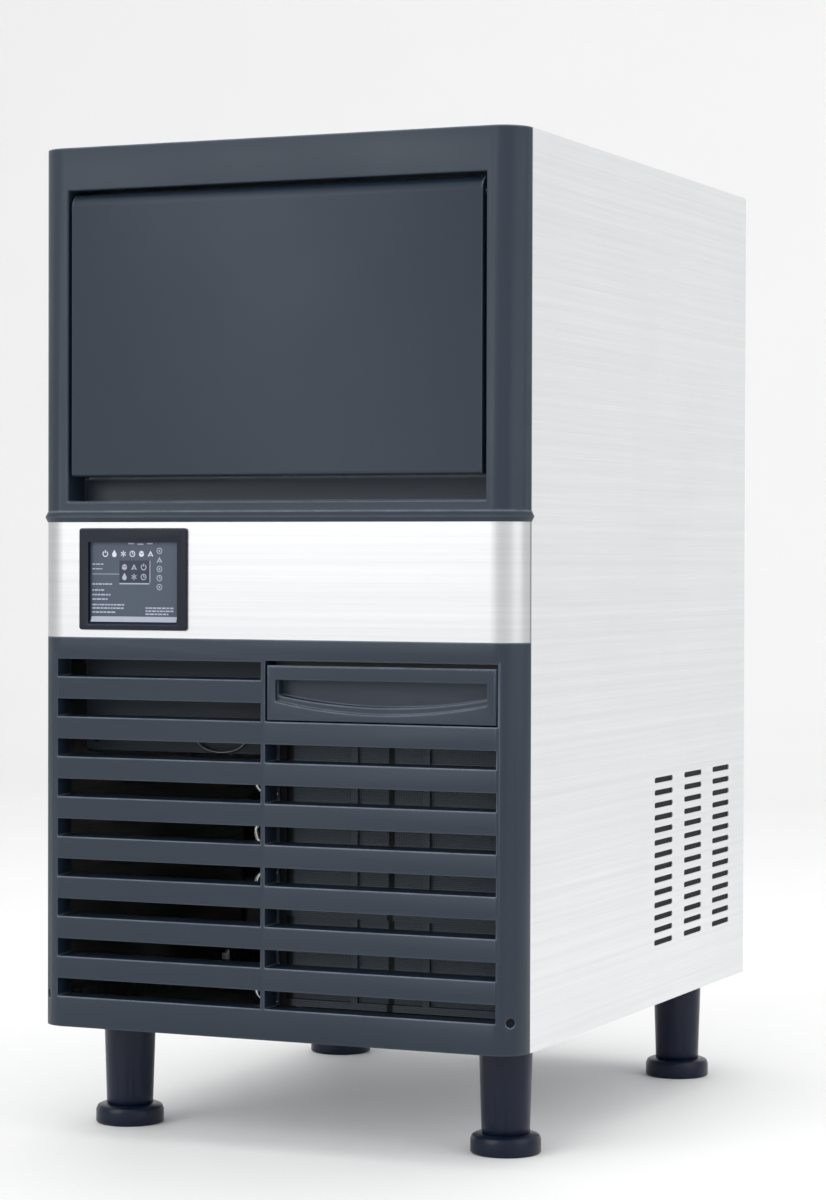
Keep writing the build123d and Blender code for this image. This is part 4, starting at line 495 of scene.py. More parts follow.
def vent_shade_mesh(name):
    """Screen behind the vents: a fine near black weave that lets no light through, painted shade for the
    machine's inside.
    """
    material, tree, shader, place = new_material(name)
    across = maths(tree, "ADD", axis_value(tree, place, "X"), axis_value(tree, place, "Y"))
    weave = maths(tree, "MAXIMUM", stripes(tree, across, 1.2 * MM, 0.4),
                  stripes(tree, axis_value(tree, place, "Z"), 1.2 * MM, 0.4))
    tree.links.new(mix_colour(tree, weave, srgb(6, 7, 9), srgb(24, 26, 30)), shader.inputs["Base Color"])
    tree.links.new(ramp(tree, weave, 0.0, 1.0, 0.9, 0.6), shader.inputs["Roughness"])
    shader.inputs["Specular IOR Level"].default_value = 0.2
    link_bump(tree, shader, weave, 0.5, 0.2 * MM)
    return material


SLATE = srgb(30, 42, 56)
STEEL = (0.80, 0.81, 0.818, 1)

finish = {
    "stainless": brushed("Brushed stainless", shade(STEEL, 1.1), 0.34, (4, 4, 1400), smear=0.25),
    "galvanised": galvanised("Galvanised sheet"),
    # Slate and navy mouldings: their edge colours are painted highlights on upward edges.
    "slate_plastic": moulded("Slate moulding", SLATE, 0.44, 1100.0, 0.22, 0.1, 0.36, edge=0.9,
                              edge_highlight_colour=srgb(128, 137, 153)),
    "leg_plastic": leg_moulding("Navy leg moulding"),
    "bezel_plastic": moulded("Navy bezel", srgb(10, 17, 33), 0.36, 1300.0, 0.1, 0.06, 0.25, edge=0.6,
                              edge_highlight_colour=srgb(70, 80, 104)),
    "overlay": moulded("Printed membrane", srgb(62, 73, 89), 0.4, 1600.0, 0.06, specular=0.4),
    "display": moulded("Tinted display window", srgb(46, 55, 70), 0.14, 1600.0, 0.0, 0.03),
    "board": circuit_board("Circuit board"),
    "white_plastic": moulded("White food grade moulding", srgb(228, 231, 230), 0.3, 800.0, 0.06),
    "grey_plastic": moulded("Grey moulding", srgb(84, 90, 98), 0.5, 700.0, 0.2, dust=0.25),
    "black_plastic": moulded("Black moulding", srgb(24, 25, 28), 0.45, 800.0, 0.2, dust=0.2),
    "clear_plastic": moulded("Frosted sheet", srgb(206, 216, 222), 0.32, 900.0, 0.08),
    "foam": cabinet_foam("Cabinet foam"),
    "gasket_rubber": seal_rubber("Soft seal rubber"),
    "pin_steel": brushed("Turned steel", (0.66, 0.67, 0.69, 1), 0.28, (900, 900, 900), 0.02),
    "tinned_copper": brushed("Nickel plate", (0.78, 0.79, 0.78, 1), 0.22, (40, 40, 40), 0.01, smear=0.3),
    "copper": copper_tube("Drawn copper"),
    "black_enamel": moulded("Black enamel", srgb(16, 16, 18), 0.28, 180.0, 0.12, dust=0.35),
    "condenser_metal": brushed("Bare aluminium", (0.74, 0.75, 0.76, 1), 0.36, (200, 200, 200), 0.02,
                               smear=0.4),
}
own_finish = {
    # The band's steel is a darker copy of the side panels' steel: painted shade that holds the band down
    # under the front light.
    "control_band": brushed("Brushed band", shade(STEEL, 0.8), 0.36, (4, 4, 1400), smear=0.2, end_seam_shade=True),
    "electrical_box": moulded("Slate paint on steel", srgb(46, 53, 64), 0.5, 420.0, 0.3, specular=0.35),
    "panel_screws": screw_steel("Screw steel"),
    "dust_filter": filter_screen("Filter screen"),
    "fan_shroud": moulded("Dark duct moulding", srgb(42, 45, 50), 0.5, 700.0, 0.2, dust=0.3),
    "door_gasket": seal_rubber("Door seal rubber"),
}
for foot in ("front_left", "front_right", "rear_left", "rear_right"):
    own_finish["foot_" + foot] = foot_moulding("Foot " + foot.replace("_", " "))
piece_finish = {
    "print": moulded("Pale print ink", srgb(158, 165, 184), 0.5, 1500.0, 0.05),
    "bright print": moulded("White print ink", srgb(205, 209, 222), 0.5, 1500.0, 0.05),
    # The sill's pale colour is a painted highlight on the bezel's lower inner edge.
    "sill": moulded("Sill painted highlight", srgb(150, 158, 176), 0.28, 1500.0, 0.03),
    "screen": vent_shade_mesh("Vent shade screen"),
    "wire": brushed("Dull wire", (0.22, 0.23, 0.25, 1), 0.42, (300, 300, 300), 0.02),
}

slot_of = {part["node"]: part["material_slot"] for part in frame["record"]["subparts"]}
for name, piece in nodes.items():
    piece.data.materials.clear()
    piece.data.materials.append(own_finish.get(name, finish[slot_of[name]]))


# Softened edges on the pieces that show

def soften(piece, width, angle=32):
    """Rounds the sharp edges of a CAD piece for the eye, within its own outline."""
    weld = piece.modifiers.new("Weld", "WELD")
    weld.merge_threshold = 0.004 * MM
    flat = piece.modifiers.new("Flat faces", "DECIMATE")
    flat.decimate_type = "DISSOLVE"
    flat.angle_limit = math.radians(0.5)
    bevel = piece.modifiers.new("Bevel", "BEVEL")
    bevel.width = width
    bevel.segments = 2
    bevel.limit_method = "ANGLE"
    bevel.angle_limit = math.radians(angle)
    bevel.harden_normals = True
    for face in piece.data.polygons:
        face.use_smooth = True


# Mesh helpers for the added pieces

def finish_piece(name, work, material, body="cabinet", sharp=40):
    """Turns mesh work into a piece that rides on a body."""
    bmesh.ops.recalc_face_normals(work, faces=work.faces)
    mesh = bpy.data.meshes.new(name)
    work.to_mesh(mesh)
    work.free()
    mesh.materials.append(material)
    for face in mesh.polygons:
        face.use_smooth = True
    mesh.set_sharp_from_angle(angle=math.radians(sharp))
    piece = bpy.data.objects.new(name, mesh)
    bpy.context.scene.collection.objects.link(piece)
    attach(piece, body)
    return piece


def add_block(work, low, high):
    """A box between two corners."""
    spots = [work.verts.new((x, y, z)) for x in (low[0], high[0]) for y in (low[1], high[1])
             for z in (low[2], high[2])]
    for loop in ((0, 1, 3, 2), (4, 6, 7, 5), (0, 4, 5, 1), (2, 3, 7, 6), (0, 2, 6, 4), (1, 5, 7, 3)):
        work.faces.new([spots[i] for i in loop])


def add_plate(work, outline, y_face, y_rear):
    """A flat shape in the plane of the front, given as x and z points, with a thickness."""
    near, far = ([work.verts.new((x, y, z)) for x, z in outline] for y in (y_face, y_rear))
    work.faces.new(near)
    work.faces.new(far[::-1])
    for i, j in zip(range(len(outline)), [*range(1, len(outline)), 0]):
        work.faces.new((near[i], near[j], far[j], far[i]))


def add_turned(work, profile, place, axis, steps=36):
    """A turned form: radius and height points spun about an axis through a place."""
    turn = Vector(axis).to_track_quat("Z", "Y").to_matrix()
    rows = []
    for radius, height in profile:
        count = steps if radius else 1
        angles = [math.tau * i / count for i in range(count)]
        ring = [Vector((radius * math.cos(a), radius * math.sin(a), height)) for a in angles]
        rows.append([work.verts.new(Vector(place) + turn @ spot) for spot in ring])
    for low, high in zip(rows, rows[1:]):
        for i in range(steps):
            j = (i + 1) % steps
            corners = (low[i % len(low)], low[j % len(low)], high[j % len(high)], high[i % len(high)])
            work.faces.new(list(dict.fromkeys(corners)))


def add_tube(work, points, radius, steps=12):
    """A round tube along a line of points, closed at its ends."""
    points = [Vector(p) for p in points]
    side = (points[1] - points[0]).orthogonal().normalized()
    rows = []
    for i, point in enumerate(points):
        ahead = (points[min(i + 1, len(points) - 1)] - points[max(i - 1, 0)]).normalized()
        side = (side - ahead * side.dot(ahead)).normalized()
        up = ahead.cross(side)
        rows.append([work.verts.new(point + radius * (math.cos(a) * side + math.sin(a) * up))
                     for a in (math.tau * k / steps for k in range(steps))])
    for low, high in zip(rows, rows[1:]):
        for i in range(steps):
            j = (i + 1) % steps
            work.faces.new((low[i], low[j], high[j], high[i]))
    work.faces.new(rows[0][::-1])
    work.faces.new(rows[-1])


def add_thread(work, place, axis, radius, length, pitch, depth, steps=48):
    """A helical thread ridge that winds along a spigot."""
    turn = Vector(axis).to_track_quat("Z", "Y").to_matrix()
    rings = int(steps * (length - pitch) / pitch)
    rows = []
    for i in range(rings + 1):
        a = math.tau * i / steps
        height = i * pitch / steps
        fade = min(1.0, i / steps, (rings - i) / steps)
        section = ((radius, height + 0.1 * pitch), (radius + depth * fade, height + 0.5 * pitch),
                   (radius, height + 0.9 * pitch), (radius - 0.1 * MM, height + 0.5 * pitch))
        rows.append([work.verts.new(Vector(place) + turn @ Vector((r * math.cos(a), r * math.sin(a), h)))
                     for r, h in section])
    for low, high in zip(rows, rows[1:]):
        for i in range(4):
            j = (i + 1) % 4
            work.faces.new((low[i], low[j], high[j], high[i]))
    work.faces.new(rows[0])
    work.faces.new(rows[-1][::-1])


# Print on the control panel: plain icons and bars, in millimetres from the bezel's lower left corner

PRINT_T = 0.15 * MM
ICON_ROW_X, ICON_ROW_Z, ICON_PITCH = 23.8, 65.4, 8.8
ICON_COLUMN_X, ICON_COLUMN_Z, ICON_COLUMN_PITCH = 76.4, 68.0, 7.75
ICON_R = 2.7
LEADER_Z = 48.0
LINES_X = 11.0
LINE_ROWS = ((39.4, 20), (34.2, 12), (30.2, 18), (26.4, 15), (21.6, 32), (18.7, 32), (15.2, 24))
NOTE_X = 63.0
NOTE_ROWS = ((19.0, 27), (16.4, 27), (13.8, 22))
LINE_H = 1.3


def add_mark(work, outline, face_y):
    """One printed shape, from points in millimetres on the panel."""
    spots = [(bezel_low.x + x * MM, bezel_low.z + z * MM) for x, z in outline]
    add_plate(work, spots, face_y - PRINT_T, face_y + PRINT_T)


def bar(x, z, length, width, angle=0.0):
    """Corners of a bar about its middle."""
    c, s = math.cos(math.radians(angle)), math.sin(math.radians(angle))
    ends = ((-length, -width), (length, -width), (length, width), (-length, width))
    return [(x + (u * c - v * s) / 2, z + (u * s + v * c) / 2) for u, v in ends]


def round_shape(x, z, radius, sides=20, low=0.0, high=360.0):
    """Points round a circle, or along an arc of it."""
    turn = (high - low) / (sides if high - low == 360 else sides - 1)
    angles = [math.radians(low + turn * i) for i in range(sides)]
    return [(x + radius * math.cos(a), z + radius * math.sin(a)) for a in angles]


def arc_band(x, z, radius, width, low, high, sides=20):
    """A curved band between two angles, as the outline of a ring with a gap."""
    outer = round_shape(x, z, radius, sides, low, high)
    inner = round_shape(x, z, radius - width, sides, low, high)
    return outer + inner[::-1]


def power_icon(x, z):
    """A ring open at the top, with a bar in the gap."""
    return [arc_band(x, z, ICON_R, 0.8, 125, 415), bar(x, z + 0.7 * ICON_R, ICON_R, 0.8, 90)]


def drop_icon(x, z):
    """A water drop."""
    return [round_shape(x, z - 0.7, 0.8 * ICON_R, 16, 150, 390) + [(x, z + 1.3 * ICON_R)]]


def star_icon(x, z):
    """A frost star of three crossed bars."""
    return [bar(x, z, 2 * ICON_R, 0.75, 90 + 60 * i) for i in range(3)]


def clock_icon(x, z):
    """A dial with two hands."""
    return [arc_band(x, z, ICON_R, 0.7, 2, 358), bar(x, z + 0.8, 1.8, 0.7, 90), bar(x + 0.6, z, 1.6, 0.7)]


def cube_icon(x, z):
    """An ice cube seen from a corner: three lozenges."""
    r = ICON_R
    top = [(x, z + r), (x + 0.85 * r, z + 0.55 * r), (x, z + 0.1 * r), (x - 0.85 * r, z + 0.55 * r)]
    left = [(x - 0.85 * r, z + 0.35 * r), (x - 0.1, z - 0.1 * r), (x - 0.1, z - r),
            (x - 0.85 * r, z - 0.55 * r)]
    right = [(2 * x - u, v) for u, v in left]
    return [top, left, right[::-1]]


def bell_icon(x, z):
    """An alert triangle with a bar."""
    r = ICON_R
    return [[(x, z + r), (x + r, z - 0.8 * r), (x + 0.55 * r, z - 0.8 * r), (x, z + 0.3 * r),
             (x - 0.55 * r, z - 0.8 * r), (x - r, z - 0.8 * r)], bar(x, z - 0.55 * r, 1.1, 0.7)]


ICONS = (power_icon, drop_icon, star_icon, clock_icon, cube_icon, bell_icon)


def add_dashes(work, x, z, length, height, face_y):
    """A printed line of short dashes."""
    end = x + length
    while x < end - 0.8:
        dash = min(random.uniform(1.6, 4.6), end - x)
        add_mark(work, bar(x + dash / 2, z, dash, height), face_y)
        x += dash + 0.7


def build_control_print():
    """The icons, the captions as dashes, the leader line and the frame of the display."""
    random.seed(7)
    face_y = overlay_low.y
    work = bmesh.new()
    for i, icon in enumerate(ICONS):
        for outline in icon(ICON_ROW_X + i * ICON_PITCH, ICON_ROW_Z):
            add_mark(work, outline, face_y)
    finish_piece("control_icons", work, piece_finish["bright print"])

    work = bmesh.new()
    for i in range(5):
        x, z = ICON_COLUMN_X, ICON_COLUMN_Z - i * ICON_COLUMN_PITCH
        shapes = ICONS[(2 * i + 3) % len(ICONS)](x, z) if i % 2 else [
            arc_band(x, z, ICON_R, 0.7, 2, 358), bar(x, z, 1.5, 1.5, 45)]
        for outline in shapes:
            add_mark(work, outline, face_y)
    for i in range(3):
        add_mark(work, bar(49 + 9 * i, 74.2 - 0.5 * (i % 2), 5.5, 1.1), face_y)
    display_x0 = (display_low.x - bezel_low.x) / MM
    display_x1 = (display_high.x - bezel_low.x) / MM
    add_mark(work, bar((LINES_X + display_x0) / 2, LEADER_Z, display_x0 - LINES_X, 0.5), face_y)
    for z, length in LINE_ROWS:
        add_dashes(work, LINES_X, z, length, LINE_H, face_y)
    for z, length in NOTE_ROWS:
        add_dashes(work, NOTE_X, z, length, LINE_H, face_y)
    for z in (56.5, 52.5):
        add_dashes(work, LINES_X, z, 11, 1.0, face_y)
    display_z0 = (display_low.z - bezel_low.z) / MM
    display_z1 = (display_high.z - bezel_low.z) / MM
    middle_x, middle_z = (display_x0 + display_x1) / 2, (display_z0 + display_z1) / 2
    add_mark(work, bar(display_x1 + 0.6, middle_z, display_z1 - display_z0, 0.7, 90), face_y)
    add_mark(work, bar(middle_x, display_z0 - 0.8, display_x1 - display_x0, 1.1), face_y)
    finish_piece("control_captions", work, piece_finish["print"])

    work = bmesh.new()
    for column in range(3):
        for row in range(2):
            x = display_x0 + 5 + 9.3 * column
            z = display_z0 + 5 + 8.4 * row
            for outline in ICONS[(column + 3 * row + 1) % len(ICONS)](x, z):
                add_mark(work, outline, display_low.y)
    finish_piece("display_symbols", work, piece_finish["print"])


SILL_INSET = 1.5 * MM
SILL_BACK = 1.6 * MM
SILL_ROOT = 0.1 * MM
SILL_LIP = 0.5 * MM
SILL_H = 4.6 * MM


def build_control_sill():
    """A sloped wedge along the foot of the control window, pale as a painted highlight on the bezel's lower
    inner edge.
    """
    work = bmesh.new()
    low, high = overlay_low, overlay_high
    root_y, top_z = low.y + SILL_ROOT, low.z + SILL_H
    section = ((bezel_low.y + SILL_BACK, low.z), (root_y, low.z), (root_y, top_z),
               (low.y - SILL_LIP, top_z))
    ends = [[work.verts.new((x, y, z)) for y, z in section]
            for x in (low.x + SILL_INSET, high.x - SILL_INSET)]
    work.faces.new(ends[0])
    work.faces.new(ends[1][::-1])
    for i in range(4):
        j = (i + 1) % 4
        work.faces.new((ends[0][i], ends[0][j], ends[1][j], ends[1][i]))
    finish_piece("control_sill", work, piece_finish["sill"])


# Dark screens behind the slots, painted shade for the machine's inside

VENT_SIDE_REACH = (-271 * MM, -43 * MM)
VENT_SIDE_Z = (48 * MM, 214 * MM)
VENT_REAR_X = (16 * MM, 174 * MM)
VENT_REAR_Z = (157 * MM, 303 * MM)
SCREEN_T = 0.8 * MM
SCREEN_GAP = 0.1 * MM
SCREEN_RIM = 3 * MM


def rim_strips(u0, u1, z0, z1):
    """Low and high corners of the four strips that fold round a flat screen."""
    return (((u0, z0), (u1, z0 + SCREEN_RIM)), ((u0, z1 - SCREEN_RIM), (u1, z1)),
            ((u0, z0), (u0 + SCREEN_RIM, z1)), ((u1 - SCREEN_RIM, z0), (u1, z1)))


def build_vent_shade_screens():
    """A near black screen, painted shade, just inside the right panel and one inside the rear panel, each
    with a folded rim.
    """
    work = bmesh.new()
    outer = half_w - SHEET - SCREEN_GAP
    y0, y1 = (rear_y + reach for reach in VENT_SIDE_REACH)
    z0, z1 = (base_z + rise for rise in VENT_SIDE_Z)
    add_block(work, (outer - SCREEN_T, y0, z0), (outer, y1, z1))
    for low, high in rim_strips(y0, y1, z0, z1):
        add_block(work, (outer - 3 * SCREEN_T, *low), (outer - SCREEN_T, *high))
    finish_piece("vent_shade_screen_right", work, piece_finish["screen"])

    work = bmesh.new()
    outer = rear_y - SHEET - SCREEN_GAP
    z0, z1 = (base_z + rise for rise in VENT_REAR_Z)
    x0, x1 = VENT_REAR_X
    add_block(work, (x0, outer - SCREEN_T, z0), (x1, outer, z1))
    for low, high in rim_strips(x0, x1, z0, z1):
        add_block(work, (low[0], outer - 3 * SCREEN_T, low[1]), (high[0], outer - SCREEN_T, high[1]))
    finish_piece("vent_shade_screen_rear", work, piece_finish["screen"])


# Machine room, seen between the slats

COIL_ROWS = 10
HEADER_H = 222 * MM
COIL_END = 10 * MM
RETURN_REACH = 36 * MM
RETURN_R = 2.6 * MM
RETURN_ROOT = 3 * MM
FIN_FOLDS = 58
FIN_T = 0.25 * MM
FLAT_TUBE_H = 2.5 * MM


def coil_rows():
    """The height of the condenser's lowest flat tube, and the pitch of the tubes."""
    return coil_high.z - HEADER_H + COIL_END, (HEADER_H - 2 * COIL_END) / (COIL_ROWS - 1)


def build_return_bends():
    """Bright return bends on the left header of the condenser."""
    work = bmesh.new()
    y = coil_low.y + (coil_high.y - coil_low.y) / 2
    first_z, pitch = coil_rows()
    for pair in range(COIL_ROWS // 2):
        low_z = first_z + 2 * pair * pitch
        middle = low_z + pitch / 2
        inner_x = coil_low.x + RETURN_ROOT
        bend_x = coil_low.x - RETURN_REACH + pitch / 2
        points = [(inner_x, y, low_z), ((inner_x + bend_x) / 2, y, low_z)]
        for i in range(13):
            a = math.radians(-90 - 15 * i)
            points.append((bend_x + pitch / 2 * math.cos(a), y, middle + pitch / 2 * math.sin(a)))
        points += [((inner_x + bend_x) / 2, y, low_z + pitch), (inner_x, y, low_z + pitch)]
        add_tube(work, points, RETURN_R)
    finish_piece("condenser_return_bends", work, finish["tinned_copper"])


def build_fine_fins():
    """The condenser's folded fins, finer than the coarse ones that they stand for."""
    work = bmesh.new()
    first_z, pitch = coil_rows()
    step = (fins_high.x - fins_low.x) / FIN_FOLDS
    corners = ((fins_low.y, 0), (fins_high.y, 0), (fins_high.y, FIN_T), (fins_low.y, FIN_T))
    for row in range(COIL_ROWS - 1):
        z0 = first_z + row * pitch + FLAT_TUBE_H / 2
        z1 = z0 + pitch - FLAT_TUBE_H - FIN_T
        lower = [(fins_low.x + i * step, z1 if i % 2 else z0) for i in range(FIN_FOLDS + 1)]
        rows = [[work.verts.new((x, y, z + rise)) for x, z in lower]
                for y, rise in corners]
        for i in range(FIN_FOLDS):
            for k in range(4):
                a, b = rows[k], rows[(k + 1) % 4]
                work.faces.new((a[i], a[i + 1], b[i + 1], b[i]))
        work.faces.new([r[0] for r in rows])
        work.faces.new([r[-1] for r in rows][::-1])
    fins = finish_piece("condenser_fine_fins", work, finish["condenser_metal"], sharp=20)
    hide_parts("condenser_fins")


BAIL_X = -69 * MM
BAIL_HALF = 24 * MM
BAIL_DROP = 13 * MM
BAIL_R = 1.1 * MM
BAIL_Z = 14 * MM
BAIL_STAND = 3 * MM
BAIL_KNEE = 1.5 * MM
BAIL_ROOT = 1 * MM
BAIL_STEPS = 16
COVER_SCREW_INSET = 10 * MM
COVER_SCREW_R = 3.2 * MM


def build_box_bail():
    """A wire bail on the front of the electrical box, and the screws of its cover."""
    work = bmesh.new()
    face_y = box_low.y
    top_z = box_low.z + BAIL_Z
    out_y = face_y - BAIL_STAND
    left, right = BAIL_X - BAIL_HALF, BAIL_X + BAIL_HALF
    points = [(left, face_y + BAIL_ROOT, top_z), (left, face_y - BAIL_KNEE, top_z)]
    for i in range(BAIL_STEPS + 1):
        a = math.pi + math.pi * i / BAIL_STEPS
        points.append((BAIL_X + BAIL_HALF * math.cos(a), out_y, top_z + BAIL_DROP * math.sin(a)))
    points += [(right, face_y - BAIL_KNEE, top_z), (right, face_y + BAIL_ROOT, top_z)]
    add_tube(work, points, BAIL_R, 10)
    finish_piece("box_bail", work, piece_finish["wire"])

    work = bmesh.new()
    for x in (box_low.x + COVER_SCREW_INSET, box_high.x - COVER_SCREW_INSET):
        for z in (box_low.z + COVER_SCREW_INSET, box_high.z - COVER_SCREW_INSET):
            add_screw_head(work, (x, face_y, z), (0, -1, 0), COVER_SCREW_R)
    finish_piece("box_cover_screws", work, own_finish["panel_screws"])


# Screw heads

def add_screw_head(work, place, axis, radius):
    """A domed head with a cross sunk in its crown: the dome is cut into a ring of faces around the cross."""
    turn = Vector(axis).to_track_quat("Z", "Y").to_matrix()
    arm, reach, deep = 0.14 * radius, 0.55 * radius, 0.3 * radius
    height = 0.34 * radius
    inner = []
    for quarter in range(4):
        a = math.radians(90 * quarter)
        for u, v in ((reach, -arm), (reach, arm), (arm, arm)):
            inner.append((u * math.cos(a) - v * math.sin(a), u * math.sin(a) + v * math.cos(a)))
    rows = [
        [(radius * u / math.hypot(u, v), radius * v / math.hypot(u, v), -0.1 * MM) for u, v in inner],
        [(radius * u / math.hypot(u, v), radius * v / math.hypot(u, v), 0.3 * height) for u, v in inner],
        [(0.8 * radius * u / math.hypot(u, v), 0.8 * radius * v / math.hypot(u, v), 0.82 * height)
         for u, v in inner],
        [(u, v, height) for u, v in inner],
        [(0.9 * u, 0.9 * v, height - deep) for u, v in inner],
    ]
    rings = [[work.verts.new(Vector(place) + turn @ Vector(spot)) for spot in row] for row in rows]
    for low, high in zip(rings, rings[1:]):
        for i in range(len(low)):
            j = (i + 1) % len(low)
            work.faces.new((low[i], low[j], high[j], high[i]))
    work.faces.new(rings[0][::-1])
    work.faces.new(rings[-1])


PANEL_SCREW_R = 3.8 * MM
PANEL_SCREW_H = 2.2 * MM
PANEL_SCREW_ROWS = 4
PANEL_SCREW_LOW = 30 * MM
CORNER_SCREW_R = 3.6 * MM
CORNER_R = 25 * MM
CORNER_SCREW_ANGLE = 40
CORNER_SCREW_DEPTH = 3 * MM
CORNER_SCREW_Z = 27 * MM


def build_screw_crowns():
    """Domed, cross-slotted crowns on the rear panel's screws and in the front corners."""
    work = bmesh.new()
    low_z = base_z + PANEL_SCREW_LOW
    high_z = screws_high.z - PANEL_SCREW_R
    pitch = (high_z - low_z) / (PANEL_SCREW_ROWS - 1)
    for side in (-1, 1):
        for row in range(PANEL_SCREW_ROWS):
            place = (side * (screws_high.x - PANEL_SCREW_R), rear_y + PANEL_SCREW_H, low_z + row * pitch)
            add_screw_head(work, place, (0, 1, 0), PANEL_SCREW_R - 0.1 * MM)
    for side in (-1, 1):
        a = math.radians(CORNER_SCREW_ANGLE)
        out = Vector((side * math.sin(a), -math.cos(a), 0))
        centre = Vector((side * (half_w - CORNER_R), front_y + CORNER_R, base_z + CORNER_SCREW_Z))
        add_screw_head(work, centre + out * (CORNER_R - CORNER_SCREW_DEPTH), out, CORNER_SCREW_R)
    finish_piece("screw_crowns", work, own_finish["panel_screws"])


# Rear fittings

INLET_R = 13.2 * MM
INLET_PITCH = 1.8 * MM
THREAD_START = 4 * MM
THREAD_LENGTH = 14 * MM
THREAD_DEPTH = 0.55 * MM
INLET_Z = 95 * MM
DRAIN_X = 70 * MM
DRAIN_Z = 52 * MM
BARB_PITCH = 5
BARB_START = 3
GLAND_Z = 70 * MM
GLAND_RIBS = 20
DRAIN_R = 10 * MM
GLAND_R = 10 * MM


def build_rear_fittings():
    """Inlet thread, drain barbs, and the ribs of the power gland."""
    inlet_x = (valve_low.x + valve_high.x) / 2
    inlet_z = base_z + INLET_Z
    work = bmesh.new()
    start = (inlet_x, rear_y + THREAD_START, inlet_z)
    add_thread(work, start, (0, 1, 0), INLET_R, THREAD_LENGTH, INLET_PITCH, THREAD_DEPTH)
    finish_piece("inlet_thread", work, finish["grey_plastic"])

    work = bmesh.new()
    drain = (DRAIN_X, drain_high.y, base_z + DRAIN_Z)
    for step in range(3):
        start = (BARB_START + BARB_PITCH * step) * MM
        ridge = [(DRAIN_R - 0.2 * MM, -start - 4.2 * MM), (DRAIN_R + 0.9 * MM, -start - 3.8 * MM),
                 (DRAIN_R, -start), (DRAIN_R - 0.2 * MM, -start), (DRAIN_R - 0.2 * MM, -start - 4.2 * MM)]
        add_turned(work, ridge, drain, (0, 1, 0), 48)
    bmesh.ops.remove_doubles(work, verts=work.verts, dist=0.001 * MM)
    finish_piece("drain_barbs", work, finish["white_plastic"])

    work = bmesh.new()
    gland_x = (gland_low.x + gland_high.x) / 2
    gland_z = base_z + GLAND_Z
    nut_y0, nut_y1 = rear_y + 5 * MM, gland_high.y - 4 * MM
    for rib in range(GLAND_RIBS):
        a = math.tau * rib / GLAND_RIBS
        out = Vector((math.cos(a), 0, math.sin(a)))
        side = Vector((-math.sin(a), 0, math.cos(a)))
        foot = Vector((gland_x, 0, gland_z)) + out * (GLAND_R - 0.2 * MM)
        section = [foot - side * 0.9 * MM, foot + side * 0.9 * MM, foot + side * 0.45 * MM + out * 0.8 * MM,
                   foot - side * 0.45 * MM + out * 0.8 * MM]
        ends = [[work.verts.new(p + Vector((0, y, 0))) for p in section] for y in (nut_y0, nut_y1)]
        work.faces.new(ends[0])
        work.faces.new(ends[1][::-1])
        for i in range(4):
            j = (i + 1) % 4
            work.faces.new((ends[0][i], ends[0][j], ends[1][j], ends[1][i]))
    finish_piece("gland_ribs", work, finish["black_plastic"])


# Dark strips as painted shade, closing two gaps to the eye

STRIP_INSET = 0.8 * MM
DRAWER_STRIP_T = 1.4 * MM
DRAWER_STRIP_H = 3.0 * MM
DOOR_STRIP_REACH = 1.4 * MM
DOOR_STRIP_T = 0.5 * MM


def build_shadow_strips():
    """Painted shade: a black strip on top of the drawer front, and a slate strip under the edge of the
    door's liner.
    """
    low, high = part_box("drawer_front")
    work = bmesh.new()
    add_block(work, (low.x + STRIP_INSET, high.y - 2 * DRAWER_STRIP_T, high.z - 0.2 * MM),
              (high.x - STRIP_INSET, high.y - DRAWER_STRIP_T, high.z + DRAWER_STRIP_H))
    finish_piece("drawer_top_shadow_strip", work, finish["black_plastic"], "drawer")
    low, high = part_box("door_liner")
    shell_low, shell_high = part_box("door_shell")
    work = bmesh.new()
    add_block(work, (low.x + STRIP_INSET, shell_high.y - DOOR_STRIP_REACH, shell_low.z - DOOR_STRIP_T),
              (high.x - STRIP_INSET, shell_high.y + DOOR_STRIP_REACH, shell_low.z + 0.05 * MM))
    finish_piece("door_edge_shadow_strip", work, finish["slate_plastic"], "door")


# Studio

FLOOR_REACH = 30.0
BACKDROP_Y = 5.0
BACKDROP_R = 1.5
BACKDROP_H = 7.0


def build_floor():
    """A pale floor that turns up into a backdrop far behind."""
    mesh = bpy.data.meshes.new("floor")
    work = bmesh.new()
    bend_y = BACKDROP_Y - BACKDROP_R
    steps = [(-FLOOR_REACH, 0.0), (bend_y, 0.0)]
    for i in range(1, 9):
        a = math.radians(90 * i / 8)
        steps.append((bend_y + BACKDROP_R * math.sin(a), BACKDROP_R - BACKDROP_R * math.cos(a)))
    steps.append((BACKDROP_Y, BACKDROP_H))
    rows = [[work.verts.new((x, y, z)) for x in (-FLOOR_REACH, FLOOR_REACH)] for y, z in steps]
    for low, high in zip(rows, rows[1:]):
        work.faces.new((low[0], low[1], high[1], high[0]))
    work.to_mesh(mesh)
    work.free()
    for face in mesh.polygons:
        face.use_smooth = True
    floor = bpy.data.objects.new("floor", mesh)
    bpy.context.scene.collection.objects.link(floor)
    material, tree, shader, place = new_material("Pale floor")
    grain = noise(tree, place, 3.0, 2.0)
    tree.links.new(mix_colour(tree, grain, (0.93, 0.93, 0.93, 1), (0.955, 0.955, 0.955, 1)),
                   shader.inputs["Base Color"])
    tree.links.new(ramp(tree, grain, 0.0, 1.0, 0.55, 0.7), shader.inputs["Roughness"])
    mesh.materials.append(material)


def area_light(name, place, target, size, power):
    """A soft box aimed at a point."""
    data = bpy.data.lights.new(name, "AREA")
    data.shape = "RECTANGLE"
    data.size, data.size_y = size
    data.energy = power
    light = bpy.data.objects.new(name, data)
    light.location = place
    light.rotation_euler = (Vector(target) - Vector(place)).to_track_quat("-Z", "Y").to_euler()
    bpy.context.scene.collection.objects.link(light)


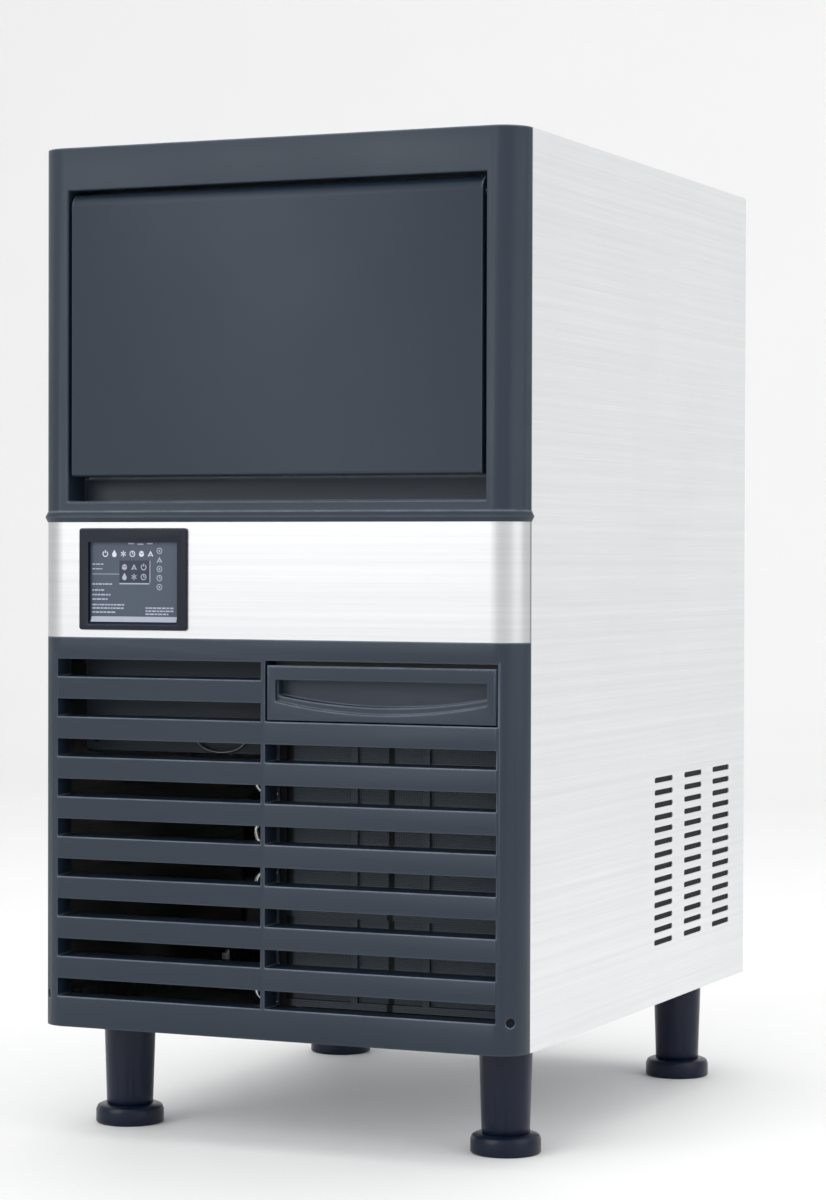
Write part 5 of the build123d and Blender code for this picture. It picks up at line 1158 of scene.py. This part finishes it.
CAMERA_RIGHT, CAMERA_AWAY, CAMERA_UP = 0.9648, 2.4298, 0.4108
CAMERA_YAW, CAMERA_PITCH, CAMERA_ROLL = 23.55, -0.83, 0.15
SENSOR = 36.0
FOCAL_PIXELS = 3215
IMAGE_H = 1200


def build_camera():
    """The camera at the photograph's viewing angle, placed from the right front edge of the body."""
    camera_data = bpy.data.cameras.new("camera")
    camera_data.sensor_fit = "VERTICAL"
    camera_data.sensor_height = SENSOR
    camera_data.lens = SENSOR * FOCAL_PIXELS / IMAGE_H
    camera_data.clip_end = 100.0
    camera = bpy.data.objects.new("camera", camera_data)
    place = (half_w + CAMERA_RIGHT, front_y - CAMERA_AWAY, base_z + CAMERA_UP)
    camera.matrix_world = (Matrix.Translation(place)
                           @ Matrix.Rotation(math.radians(CAMERA_YAW), 4, "Z")
                           @ Matrix.Rotation(math.radians(90 + CAMERA_PITCH), 4, "X")
                           @ Matrix.Rotation(math.radians(CAMERA_ROLL), 4, "Z"))
    bpy.context.scene.collection.objects.link(camera)
    bpy.context.scene.camera = camera


WORLD_LOW, WORLD_HIGH = 0.86, 0.94
WORLD_SEEN = 0.85


def build_world():
    """A white surround, brighter overhead, with soft darker areas that show in the metal."""
    world = bpy.data.worlds.new("studio")
    world.use_nodes = True
    tree = world.node_tree
    way = add_node(tree, "ShaderNodeTexCoord").outputs["Generated"]
    rise = ramp(tree, axis_value(tree, way, "Z"), -0.2, 0.9, WORLD_LOW, WORLD_HIGH)
    cloud = ramp(tree, noise(tree, way, 1.6, 1.0), 0.38, 0.62, 0.78, 1.08)
    lit = maths(tree, "MULTIPLY", rise, cloud)
    seen = add_node(tree, "ShaderNodeLightPath").outputs["Is Camera Ray"]
    kept = maths(tree, "MULTIPLY", lit, maths(tree, "SUBTRACT", 1.0, seen))
    level = maths(tree, "ADD", kept, maths(tree, "MULTIPLY", seen, WORLD_SEEN))
    background = tree.nodes["Background"]
    background.inputs["Color"].default_value = (1, 1, 1, 1)
    tree.links.new(level, background.inputs["Strength"])
    bpy.context.scene.world = world


def build_studio():
    """World, lights, floor and camera."""
    build_world()
    area_light("key", (-1.5, -3.4, 1.9), (0, 0, 0.5), (2.4, 2.4), 50)
    area_light("side", (3.0, -0.6, 1.7), (0, 0, 0.45), (2.4, 2.4), 20)
    area_light("top", (0.2, 0.3, 3.2), (0, 0, 0.4), (3.0, 3.0), 28)
    build_floor()
    build_camera()


for name in ("door_frame", "front_grille", "drawer_front", "control_bezel", "door_shell"):
    soften(nodes[name], 0.7 * MM)
for name in ("legs", "foot_front_left", "foot_front_right", "foot_rear_left", "foot_rear_right"):
    soften(nodes[name], 0.5 * MM)

build_control_print()
build_control_sill()
build_vent_shade_screens()
build_return_bends()
build_fine_fins()
build_box_bail()
build_screw_crowns()
build_rear_fittings()
build_shadow_strips()
build_studio()
bpy.context.scene.view_settings.view_transform = "Standard"
